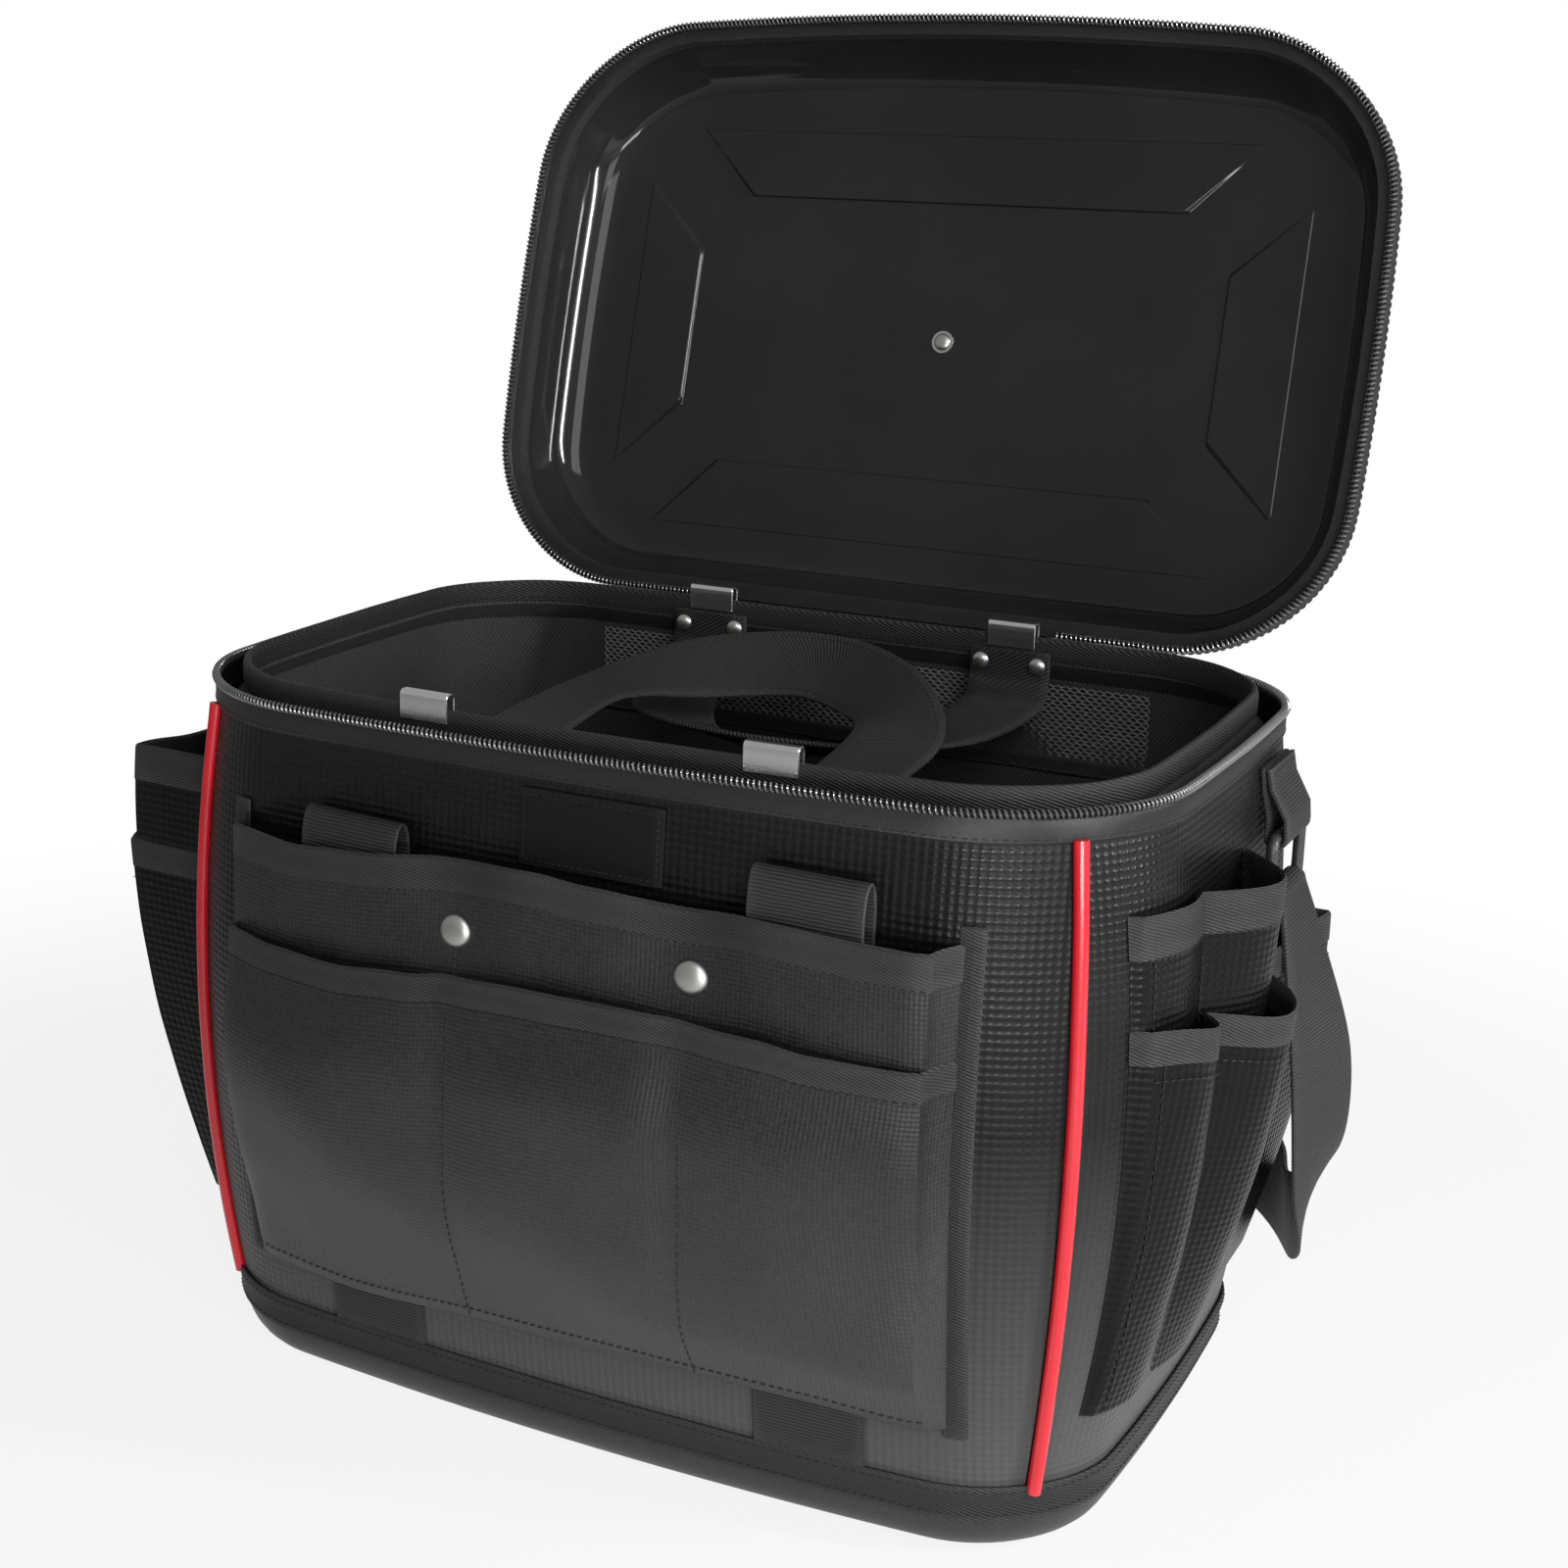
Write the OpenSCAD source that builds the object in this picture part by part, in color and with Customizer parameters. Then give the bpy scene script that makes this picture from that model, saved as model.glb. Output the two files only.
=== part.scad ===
// Open tool bucket organizer: soft-sided electrician's bucket with a hard hinged lid.
// Millimetres, +Z up, the front faces -Y, the floor is z = 0.

/* [Body] */
// Width of the zip rim
rim_w = 430; // [400:1:460]
// Depth of the zip rim with a bowed front
rim_d = 296; // [275:1:318]
// Corner radius of the rim
rim_r = 70; // [60:1:80]
// Height of the zip plane above the floor
rim_h = 305; // [285:1:325]
// Width at the foot of the walls
base_w = 409; // [385:1:425]
// Depth at the foot of the walls
base_d = 275; // [258:1:290]
// Corner radius at the foot of the walls
base_r = 52; // [44:1:62]
// How far the front bows outward at its middle
bow_front = 11; // [6:0.5:14]
// How far each side bows outward at its middle
bow_side = 6; // [3:0.5:8]
// How far the walls bulge at half height
bulge = 8; // [3:0.5:10]
// Height of the moulded base tray
tray_h = 26; // [22:1:30]
// Radius of the tray's lower edge
tray_round = 20; // [16:0.5:21]

/* [Layers] */
// Thickness of the outer panels
panel_t = 1.6; // [1.2:0.1:2]
// Thickness of the stiffener boards
board_t = 2; // [1.5:0.1:2.4]
// Thickness of the lining
lining_t = 1.2; // [0.9:0.1:1.5]
// Gap left between layers
layer_gap = 0.25; // [0.2:0.01:0.3]
// Diameter of the corner piping
piping_d = 6; // [5:0.1:6.6]
// Thickness of the base tray
tray_t = 3; // [2.5:0.1:3.5]

/* [Lid] */
// Angle between the shut lid and the lid as shown
open_angle = 105; // [98:1:112]
// Depth of the lid pan from the zip plane to its floor
pan_depth = 42; // [36:1:48]
// How far the lid overhangs the rim
lid_over = 2; // [1:0.1:2.4]
// Thickness of the lid shell
shell_t = 2.5; // [2:0.1:3]
// Thickness of the glossy lid liner
liner_t = 1.5; // [1.2:0.1:1.8]
// Height of the raised pads in the liner
pad_h = 1.4; // [0.8:0.1:2]

/* [Zip] */
// Diameter of one half of the coil
coil_d = 3.8; // [3.2:0.1:4.2]
// Half width of the fabric hinge
hinge_half = 84; // [70:1:90]
// Length of a slider
slider_l = 15; // [12:0.5:17]
// Length of a pull tab
pull_l = 30; // [24:1:34]

/* [Front pocket] */
// Half width of the front pocket
pocket_half = 152; // [140:1:156]
// Top of the upper front pocket
upper_top = 256; // [240:1:262]
// Top of the lower front pocket
lower_top = 211; // [198:1:216]
// Foot of the front pocket
pocket_foot = 59; // [48:1:64]
// Depth of the upper pocket at its top
upper_deep = 17; // [12:0.5:20]
// Depth of the lower pocket at its top
lower_deep = 13; // [10:0.5:18]
// Thickness of the pocket cloth
cloth_t = 1.4; // [1:0.1:1.8]

/* [Side pockets] */
// Length of the upper side pocket along the wall
side_len = 108; // [98:1:114]
// Front end of the side pockets, measured toward the front
side_front = 102; // [96:1:106]
// Length of the rear tube of the lower side pocket
rear_len = 84; // [70:1:88]
// Top of the upper side pocket
side_upper_top = 260; // [248:1:264]
// Top of the lower side pocket
side_lower_top = 214; // [200:1:217]
// Foot of the side pockets
side_foot = 62; // [54:1:80]
// Depth of the upper pocket on the right at its top
side_upper_deep = 22; // [18:0.5:26]
// Depth of the upper pocket on the left at its open top
side_open_deep = 38; // [30:0.5:40]
// Depth added by the lower side pocket at its top
side_lower_deep = 9; // [7:0.5:12]

/* [Straps] */
// Width of the carrying webbing
strap_w = 38; // [32:1:40]
// Thickness of the webbing
strap_t = 2.2; // [1.6:0.1:2.6]
// Distance of the carry straps from the middle
strap_x = 76; // [68:1:84]
// Width of the webbing on the front
web_w = 50; // [44:1:52]
// Distance of the front webbing from the middle
web_x = 101; // [96:1:106]
// Place of the shoulder strap on each side
anchor_y = 50; // [46:1:60]
// Diameter of the ring wire
ring_wire = 5; // [4:0.1:5.6]

/* [Hidden] */
$fn = 32;
corner_n = 3;
long_n = 6;
short_n = 4;
tiny = 0.3;
wall_z0 = tray_h + tiny;
wall_z1 = rim_h - 13;
panel_in = panel_t;
board_out = panel_t + layer_gap;
board_in = board_out + board_t;
lining_out = board_in + layer_gap;
lining_in = lining_out + lining_t;
lining_top = rim_h + 3.5;
lean = 7.9;
lean_z0 = rim_h - 15.5;
lean_z1 = rim_h - 7;
bind_t = 1;
bind_low = rim_h - 5;
clip_t = 1;
tape_t = 1;
tape_top = rim_h - coil_d - 0.4;
coil_out = 0.45;
rear_y = rim_d/2 - bow_front;
hinge_y = rear_y + lid_over + 0.6;
hinge_z = rim_h + 0.8;
zip_end = hinge_half + 6;
pan_z = rim_h + pan_depth;
lid_z0 = rim_h + coil_d + 1;
lid_rim = lid_z0 + 6;
shell_top = pan_z + liner_t + layer_gap + shell_t;
slider_x = zip_end + slider_l/2 + 6;
pull_z = rim_h - 6;
pull_y = rear_y + 7.4;
ring_h = 26;
ring_w = strap_w + 2*ring_wire + 2;
tab_low = rim_h - 45;
ring_top = tab_low + ring_wire + strap_t*2 + 1;

black = [0.06, 0.06, 0.07];
red = [0.75, 0.06, 0.08];
steel = [0.8, 0.8, 0.82];

// Outline of the bag in plan: a rounded rectangle with a bowed front and bowed sides
function turn(p, q) = q == 0 ? p : q == 1 ? [-p.y, p.x] : q == 2 ? [-p.x, -p.y] : [p.y, -p.x];
function bowed(p, hw, hd, bf, bs) = [
    p.x*(1 + bs/hw*(1 - pow(p.y/hd, 2))),
    p.y < 0 ? p.y*(1 + bf/hd*(1 - pow(p.x/hw, 2))) : p.y
];
function side_raw(hl, hm, r, n, da) = concat(
    [for (k = [0 : corner_n]) let (a = 225 + da + (45 - da)*k/corner_n) [r - hl + r*cos(a), r - hm + r*sin(a)]],
    [for (k = [1 : n - 1]) [(hl - r)*(2*k/n - 1), -hm]],
    [for (k = [0 : corner_n]) let (a = 270 + (45 - da)*k/corner_n) [hl - r + r*cos(a), r - hm + r*sin(a)]]
);
function side_of(q, w, d, r, bf, bs, da = 0) =
    let (hw = w/2 - bs, hd = d/2 - bf, even = q % 2 == 0)
    [for (p = side_raw(even ? hw : hd, even ? hd : hw, r, even ? long_n : short_n, da))
        bowed(turn(p, q), hw, hd, bf, bs)];
function ring_of(w, d, r, bf, bs) =
    [for (q = [0 : 3]) let (s = side_of(q, w, d, r, bf, bs)) for (k = [0 : len(s) - 2]) s[k]];

// Size of the wall at a height, with taper and bulge
function wall_t(z) = min(1, max(0, (z - wall_z0)/(wall_z1 - wall_z0)));
function swell(z) = 8*bulge*wall_t(z)*(1 - wall_t(z));
function w_at(z) = base_w + (rim_w - base_w)*wall_t(z) + swell(z);
function d_at(z) = base_d + (rim_d - base_d)*wall_t(z) + swell(z);
function r_at(z) = base_r + (rim_r - base_r)*wall_t(z);
function wall_side(q, off, z, da = 0) =
    side_of(q, w_at(z) - 2*off, d_at(z) - 2*off, r_at(z) - off, bow_front, bow_side, da);
function wall_ring(off, z) = ring_of(w_at(z) - 2*off, d_at(z) - 2*off, r_at(z) - off, bow_front, bow_side);
function lid_ring(off) =
    ring_of(rim_w + 2*lid_over - 2*off, rim_d + 2*lid_over - 2*off, max(8, rim_r + lid_over - off), bow_front, bow_side);

// Distance of the wall from the middle plane at a place along one side
function arc_in(x, hl, hm, r) = abs(x) <= hl - r ? hm : hm - r + sqrt(max(0, r*r - pow(abs(x) - hl + r, 2)));
function front_y(x, z, off = 0) =
    let (hw = w_at(z)/2 - bow_side - off, hd = d_at(z)/2 - bow_front - off)
    -arc_in(x, hw, hd, r_at(z) - off)*(1 + bow_front/hd*(1 - pow(x/hw, 2)));
function rear_at(x, z, off = 0) =
    arc_in(x, w_at(z)/2 - bow_side - off, d_at(z)/2 - bow_front - off, r_at(z) - off);
function right_x(y, z, off = 0) =
    let (hw = w_at(z)/2 - bow_side - off, hd = d_at(z)/2 - bow_front - off)
    arc_in(y, hd, hw, r_at(z) - off)*(1 + bow_side/hw*(1 - pow(y/hd, 2)));
function lift(pts, z) = [for (p = pts) [p.x, p.y, z]];
function back_to_front(v) = [for (i = [len(v) - 1 : -1 : 0]) v[i]];
function unit(v) = v/norm(v);

// Skins between closed loops of points; the loops are either capped or joined end to end
module loft(rings, looped = false) {
    n = len(rings[0]);
    m = len(rings);
    last = looped ? m - 1 : m - 2;
    walls = [for (i = [0 : last]) for (j = [0 : n - 1])
        let (a = i*n + j, b = i*n + (j + 1) % n, c = ((i + 1) % m)*n + (j + 1) % n, d = ((i + 1) % m)*n + j)
        each [[a, d, c], [a, c, b]]];
    caps = looped ? [] : [for (e = [0, (m - 1)*n]) for (j = [0 : ceil(n/2) - 2])
        let (a = e + j, b = a + 1, c = e + n - 2 - j, d = c + 1)
        each e == 0 ? (b == c ? [[a, b, d]] : [[a, b, c], [a, c, d]]) : (b == c ? [[a, d, b]] : [[a, c, b], [a, d, c]])];
    polyhedron(points = [for (r = rings) each r], faces = concat(walls, caps), convexity = 8);
}

// A strip or cord along a path; wide gives the direction of the section's first axis at each point
function tangents(p, looped) = [for (i = [0 : len(p) - 1])
    unit(p[looped ? (i + 1) % len(p) : min(i + 1, len(p) - 1)] - p[looped ? (i + len(p) - 1) % len(p) : max(i - 1, 0)])];
function sections(path, wide, shape, looped = false) =
    let (t = tangents(path, looped))
    [for (i = [0 : len(path) - 1])
        let (u = unit(wide[i] - t[i]*(wide[i]*t[i])), v = cross(t[i], u))
        [for (s = shape) path[i] + u*s.x + v*s.y]];
function flat_shape(w, t) = [[-w/2, -t/2], [w/2, -t/2], [w/2, t/2], [-w/2, t/2]];
function round_shape(r, n) = [for (k = [0 : n - 1]) r*[cos(360*k/n), sin(360*k/n)]];
function curve_at(a, b, c, d, t) =
    (2*b + (c - a)*t + (2*a - 5*b + 4*c - d)*t*t + (3*b - a - 3*c + d)*t*t*t)/2;
function smooth(p, n) = concat(
    [for (i = [0 : len(p) - 2]) for (k = [0 : n - 1])
        curve_at(p[max(i - 1, 0)], p[i], p[i + 1], p[min(i + 2, len(p) - 1)], k/n)],
    [p[len(p) - 1]]);

// Moulded base tray, floor and the tape that binds the walls to the tray
function tray_in(z) = z >= tray_round ? 0 : tray_round - sqrt(pow(tray_round, 2) - pow(tray_round - z, 2));
tray_r2 = tray_round - tray_t;
function tray_inner(z) = z >= tray_round ? tray_t : tray_t + tray_r2 - sqrt(max(0, pow(tray_r2, 2) - pow(tray_round - z, 2)));
tray_n = 4;
tray_z = [for (k = [0 : tray_n]) tray_round*(1 - cos(90*k/tray_n))];
tray_zi = [for (k = [tray_n : -1 : 0]) tray_t + tray_r2*(1 - cos(90*k/tray_n))];

module base_tray() {
    color(black)
    loft(concat(
        [for (z = tray_z) lift(wall_ring(tray_in(z), wall_z0), z)],
        [lift(wall_ring(0, wall_z0), tray_h), lift(wall_ring(tray_t, wall_z0), tray_h)],
        [for (z = tray_zi) lift(wall_ring(tray_inner(z), wall_z0), z)]));
}

floor_t = 3;
floor_z = tray_t + tiny;
module floor_board() {
    color(black)
    translate([0, 0, floor_z]) linear_extrude(floor_t)
    polygon(wall_ring(tray_inner(floor_z) + 2, wall_z0));
}

module base_binding() {
    color(black)
    loft([for (p = [[-tiny, tray_h - 7], [-tiny - 1.3, tray_h - 6.5], [-tiny - 1.7, tray_h],
                    [-tiny - 1.3, tray_h + 7.5], [-tiny, tray_h + 8]])
        lift(wall_ring(p[0] - (p[1] > tray_h ? 0.5 : 0), p[1]), p[1])], looped = true);
}

// Outer panels, their stiffener boards and the lining
wall_levels = [for (k = [0 : 7]) wall_z0 + (wall_z1 - wall_z0)*k/7];
seam = sqrt(pow(piping_d/2 + 0.32, 2) - 1.96);
module panel(q) {
    color(black)
    loft([for (z = wall_levels)
        let (da = seam/r_at(z)*180/PI)
        lift(concat(wall_side(q, 0, z, da), back_to_front(wall_side(q, panel_in, z, da))), z)]);
}
module front_panel() { panel(0); }
module right_panel() { panel(1); }
module rear_panel() { panel(2); }
module left_panel() { panel(3); }

board_levels = [for (k = [0 : 6]) wall_z0 + 4 + (wall_z1 - wall_z0 - 7)*k/6];
function straight_part(s, q) = let (a = corner_n, b = len(s) - 1 - corner_n) q == 2 ? [s[a], s[b]] : [for (k = [a : b]) s[k]];
module board(q) {
    color([0.2, 0.2, 0.2])
    loft([for (z = board_levels)
        lift(concat(straight_part(wall_side(q, board_out, z), q),
            back_to_front(straight_part(wall_side(q, board_in, z), q))), z)]);
}
module front_board() { board(0); }
module right_board() { board(1); }
module rear_board() { board(2); }
module left_board() { board(3); }

lining_z0 = floor_z + floor_t + tiny;
lining_feet = [for (k = [0 : 3]) lining_z0 + (tray_round - lining_z0)*k/3];
lining_levels = concat(lining_feet, board_levels, [lean_z0, wall_z1, lean_z1, lining_top]);
function lean_at(z) = lean*min(1, max(0, (z - lean_z0)/(lean_z1 - lean_z0)));
function lining_off(z) = max(lining_out, tray_inner(z) + 1.2) + lean_at(z);
module lining() {
    color([0.1, 0.1, 0.1])
    loft(concat(
        [for (z = lining_levels) lift(wall_ring(lining_off(z), z), z)],
        [for (z = back_to_front(lining_levels)) lift(wall_ring(lining_off(z) + lining_t, z), max(z, lining_z0 + lining_t))]));
}

bind_out = lining_out + lean - 0.15 - bind_t;
bind_in = lining_in + lean + 0.15 + bind_t;
module lining_binding() {
    color(black)
    loft([for (p = [[bind_out, bind_low], [bind_out, lining_top + 1.2], [bind_in, lining_top + 1.2], [bind_in, bind_low],
                    [bind_in - bind_t, bind_low], [bind_in - bind_t, lining_top + 0.2],
                    [bind_out + bind_t, lining_top + 0.2], [bind_out + bind_t, bind_low]])
        lift(wall_ring(p[0], p[1]), p[1])], looped = true);
}

// Corner piping
pipe_levels = [for (k = [0 : 9]) wall_z0 + 9 + (wall_z1 - wall_z0 - 10)*k/9];
module piping(q) {
    color(red)
    loft([for (z = pipe_levels)
        let (c = wall_side(q, -1.4, z)[0])
        lift([for (s = round_shape(piping_d/2, 10)) c + s], z)]);
}
module piping_front_left() { piping(0); }
module piping_front_right() { piping(1); }
module piping_rear_right() { piping(2); }
module piping_rear_left() { piping(3); }

// Zip halves: they run round the front and the sides and end beside the hinge
function drop_last(v) = [for (i = [0 : len(v) - 2]) v[i]];
function zip_path(w, d, r) =
    let (rear = side_of(2, w, d, r, bow_front, bow_side), y = d/2 - bow_front)
    concat([[-zip_end, y]], [for (p = rear) if (p.x < -zip_end - 4) p],
        [for (q = [3, 0]) for (p = drop_last(side_of(q, w, d, r, bow_front, bow_side))) if (q == 0 || p != rear[len(rear) - 1]) p],
        drop_last(side_of(1, w, d, r, bow_front, bow_side)),
        [for (p = rear) if (p.x > zip_end + 4) p], [[zip_end, y]]);
function upward(p) = [for (i = [0 : len(p) - 1]) [0, 0, 1]];

module body_zip_tape() {
    path = lift(zip_path(rim_w - 2*tape_t + 0.2, rim_d - 2*tape_t + 0.2, rim_r - tape_t + 0.1), (wall_z1 + 0.4 + tape_top)/2);
    color(black) loft(sections(path, upward(path), flat_shape(tape_top - wall_z1 - 0.4, tape_t)));
}
module body_zip_coil() {
    path = lift(zip_path(rim_w + 2*coil_out, rim_d + 2*coil_out, rim_r + coil_out), rim_h - coil_d/2 - 0.2);
    color(black) loft(sections(path, upward(path), round_shape(coil_d/2, 6)));
}

// Fabric hinge on the rear rim
module hinge_strip() {
    color(black)
    rotate([90, 0, 90]) translate([0, 0, -hinge_half]) linear_extrude(2*hinge_half)
    polygon([[rear_y - 0.2, wall_z1 + 0.5], [rear_y + 1, wall_z1 + 0.5], [rear_y + 1.2, rim_h - 4],
             [hinge_y + 0.6, hinge_z - 1.4], [hinge_y - 0.9, hinge_z - 0.7], [rear_y - 0.2, rim_h - 4]]);
}

// Zip sliders behind the rear corners and their pull tabs
module slider_body() {
    rear_out = rear_y + 0.3;
    difference() {
        translate([slider_x - slider_l/2, rear_out, rim_h - 10.5]) cube([slider_l, 4.6, 10]);
        translate([slider_x - slider_l, rear_out - 1, rim_h - coil_d - 0.6]) cube([2*slider_l, coil_out + coil_d/2 + 1, coil_d + 1]);
    }
    difference() {
        translate([slider_x - 2.6, rear_out + 4.2, pull_z - 3.4]) cube([5.2, 5.4, 6.8]);
        translate([slider_x - 5, pull_y, pull_z]) rotate([0, 90, 0]) cylinder(d = 3, h = 10);
    }
}
module slider_right() { color(steel) slider_body(); }
module slider_left() { color(steel) mirror([1, 0, 0]) slider_body(); }
module pull_body() {
    translate([slider_x - 4.4, pull_y, pull_z]) rotate([0, 90, 0]) cylinder(d = 2.2, h = 8.8);
    for (s = [-1, 1]) {
        translate([slider_x + s*3.9 - 1, pull_y - 1.1, pull_z - 9]) cube([2, 2.2, 9]);
        translate([slider_x + s*3.9 - 1, pull_y, pull_z]) rotate([0, 90, 0]) cylinder(d = 2.2, h = 2);
    }
    difference() {
        translate([slider_x - 4.9, pull_y - 1.1, pull_z - pull_l]) cube([9.8, 2.2, pull_l - 8]);
        translate([slider_x, pull_y - 2, pull_z - pull_l + 5]) rotate([-90, 0, 0]) cylinder(d = 4.4, h = 4);
    }
}
module pull_right() { color(steel) pull_body(); }
module pull_left() { color(steel) mirror([1, 0, 0]) pull_body(); }

// Carry handles, one sewn inside the front rim and one inside the rear rim, their clips and rivets
net_t = 1;
strap_z = bind_low + 3;
strap_front = front_y(strap_x + strap_w/2, strap_z, bind_in + tiny + strap_t/2);
strap_rear = rear_at(strap_x, strap_z, bind_in + tiny + strap_t/2);
front_key = [[strap_x, strap_front, strap_z], [strap_x, strap_front, strap_z - 14], [strap_x, strap_front + 10, strap_z - 23],
    [strap_x, strap_front + 70, strap_z - 19], [strap_x - 4, strap_front + 130, strap_z - 13],
    [strap_x - 34, strap_rear - 72, strap_z - 9], [0, strap_rear - 50, strap_z - 7]];
rear_key = [[strap_x, strap_rear, strap_z], [strap_x, strap_rear, strap_z - 14], [strap_x - 1, strap_rear - 10, strap_z - 25],
    [strap_x - 9, strap_rear - 52, strap_z - 29], [strap_x - 30, strap_rear - 88, strap_z - 31],
    [0, strap_rear - 103, strap_z - 32]];
front_lay = [[1, 0, 0], [1, 0, 0], [1, 0, 0], [1, 0, 0], [0.9, 0.4, 0], [0.5, 0.8, 0.2], [0, 1, 0.3]];
rear_lay = [[1, 0, 0], [1, 0, 0], [1, 0, 0], [0.88, -0.45, 0], [0.5, -0.8, 0.25], [0, -1, 0.45]];
function both_ends(v) = concat(v, [for (k = [len(v) - 2 : -1 : 0]) [-v[k].x, v[k].y, v[k].z]]);
module carry_handle(key, lay) {
    color(black) loft(sections(smooth(both_ends(key), 5), smooth(both_ends(lay), 5), flat_shape(strap_w, strap_t)));
}
module carry_handle_front() { carry_handle(front_key, front_lay); }
module carry_handle_rear() { carry_handle(rear_key, rear_lay); }

clip_w = 25;
clip_low = strap_z + 0.5;
clip_top = rim_h + 10.35;
module clip_at(x, y, a) {
    half = (bind_in - bind_out)/2 + 0.4;
    translate([x, y, 0]) rotate([0, 0, a]) rotate([90, 0, 90]) translate([0, 0, -clip_w/2]) linear_extrude(clip_w)
    difference() {
        translate([-half - clip_t, clip_low]) square([2*half + 2*clip_t, clip_top + clip_t - clip_low]);
        translate([-half, clip_low - 1]) square([2*half, clip_top - clip_low + 1]);
    }
}
bind_mid = (bind_in + bind_out)/2;
clip_turn = atan(2*bow_front*strap_x/pow(rim_w/2 - bow_side, 2));
module strap_clips() {
    color(steel) for (s = [-1, 1]) {
        clip_at(s*strap_x, front_y(strap_x, rim_h, bind_mid), s*clip_turn);
        clip_at(s*strap_x, rear_at(strap_x, rim_h, bind_mid), 0);
    }
}
rivet_d = 8;
module rivet_head(d, h) {
    rotate_extrude() intersection() {
        translate([0, h - (d*d/4 + h*h)/(2*h)]) circle(r = (d*d/4 + h*h)/(2*h), $fn = 48);
        square([d, h]);
    }
}
module strap_rivets() {
    color(steel) for (s = [-1, 1]) for (k = [-1, 1]) {
        translate([s*strap_x + k*13.5, strap_rear - strap_t/2 - 0.05, strap_z - 6]) rotate([90, 0, 0]) rivet_head(rivet_d, 2.4);
        translate([s*strap_x + k*13.5, strap_front + strap_t/2 + 0.05, strap_z - 6]) rotate([-90, 0, 0]) rivet_head(rivet_d, 2.4);
    }
}

// Net pocket inside the rear wall and its bound lower edge
net_half = 140;
net_low = rim_h - 52;
net_high = lean_z0 - 1.5;
net_off = lining_in + tiny;
net_cols = 30;
net_rows = 5;
net_bar = 1.6;
net_y = rear_at(0, net_low, net_off + net_t);
net_lean = atan((rear_at(0, net_high, net_off + net_t) - net_y)/(net_high - net_low));
net_tall = (net_high - net_low)/cos(net_lean);
module net_pocket() {
    step_x = (2*net_half - net_bar)/net_cols;
    step_z = (net_tall - net_bar)/net_rows;
    color(black)
    translate([0, net_y + net_t, net_low]) rotate([90 - net_lean, 0, 0]) linear_extrude(net_t)
    difference() {
        translate([-net_half, 0]) square([2*net_half, net_tall]);
        for (i = [0 : net_cols - 1]) for (j = [0 : net_rows - 1])
            translate([net_bar - net_half + i*step_x, net_bar + j*step_z]) square([step_x - net_bar, step_z - net_bar]);
    }
}
module net_binding() {
    color(black)
    loft([for (z = [net_low - 7, net_low - tiny]) lift([
        [net_half, rear_at(0, z, net_off)], [-net_half, rear_at(0, z, net_off)],
        [-net_half, rear_at(0, z, net_off + 2.4)], [net_half, rear_at(0, z, net_off + 2.4)]], z)]);
}

// Pockets: a cloth wall standing off the panel, closed at its foot
function pocket_rows(za, zb, n) = [for (k = [0 : n]) za + (zb - za)*k/n];
function spread(xa, xb, n) = [for (k = [0 : n]) xa + (xb - xa)*k/n];
function grow(z, za, zb, d0, d1) = d0 + (d1 - d0)*sin(90*min(1, max(0, (z - za)/(zb - za))));

foot_deep = 5;
function upper_out(z) = grow(z, pocket_foot, upper_top, foot_deep, upper_deep);
function lower_out(z) = upper_out(z) + tiny + grow(z, pocket_foot, lower_top, 4, lower_deep);
function front_loop(z, near, far, inner) = concat(
    [[-pocket_half, front_y(-pocket_half, z, -near)]],
    [for (x = spread(-pocket_half, pocket_half, pocket_n)) [x, front_y(x, z, -far)]],
    [[pocket_half, front_y(pocket_half, z, -near)],
     [pocket_half - cloth_t, front_y(pocket_half - cloth_t, z, -near)]],
    [for (x = spread(pocket_half - cloth_t, cloth_t - pocket_half, pocket_n)) [x, front_y(x, z, -inner)]],
    [[cloth_t - pocket_half, front_y(pocket_half - cloth_t, z, -near)]]);
near_wall = 1.9;
foot_h = 3;
pocket_n = 8;
module front_pocket_upper() {
    color(black)
    loft(concat(
        [for (z = [pocket_foot, pocket_foot + foot_h])
            lift(front_loop(z, near_wall, upper_out(z), near_wall + 0.05), z)],
        [for (z = pocket_rows(pocket_foot + 3*foot_h, upper_top, 5))
            lift(front_loop(z, near_wall, upper_out(z), upper_out(z) - cloth_t), z)]));
}
module front_pocket_lower() {
    color(black)
    loft(concat(
        [for (z = [pocket_foot, pocket_foot + foot_h])
            lift(front_loop(z, upper_out(z) + tiny, lower_out(z), upper_out(z) + tiny + 0.05), z)],
        [for (z = pocket_rows(pocket_foot + 3*foot_h, lower_top, 5))
            lift(front_loop(z, upper_out(z) + tiny, lower_out(z), lower_out(z) - cloth_t), z)]));
}
edge_h = 9;
tape_n = 3*pocket_n;
module edge_tape(z1, out) {
    color(black)
    loft([for (z = pocket_rows(z1 - edge_h, z1 + 1.2, 2)) lift(concat(
        [for (x = spread(-pocket_half, pocket_half, tape_n)) [x, front_y(x, z, -out(z) - 1.2)]],
        [for (x = spread(pocket_half, -pocket_half, tape_n)) [x, front_y(x, z, -out(z) - 0.2)]]), z)]);
}
module front_upper_binding() { edge_tape(upper_top, function(z) upper_out(z)); }
module front_lower_binding() { edge_tape(lower_top, function(z) lower_out(z)); }

snap_x = 51.5;
snap_mid = 6.5;
snap_z = upper_top - 26;
module pocket_rivets() {
    color(steel) for (s = [-1, 1])
    translate([snap_mid + s*snap_x, front_y(snap_mid + s*snap_x, snap_z, -upper_out(snap_z) - 0.35), snap_z]) rotate([90 + 3, 0, s*1.6]) rivet_head(14, 4);
}

patch_z = rim_h - 32;
module front_patch() {
    color(black)
    loft([for (z = [patch_z - 15, patch_z, patch_z + 15]) lift(concat(
        [for (x = spread(-23, 39, 4)) [x, front_y(x, z, -1.6)]],
        [for (x = spread(39, -23, 4)) [x, front_y(x, z, -tiny)]]), z)]);
}

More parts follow.
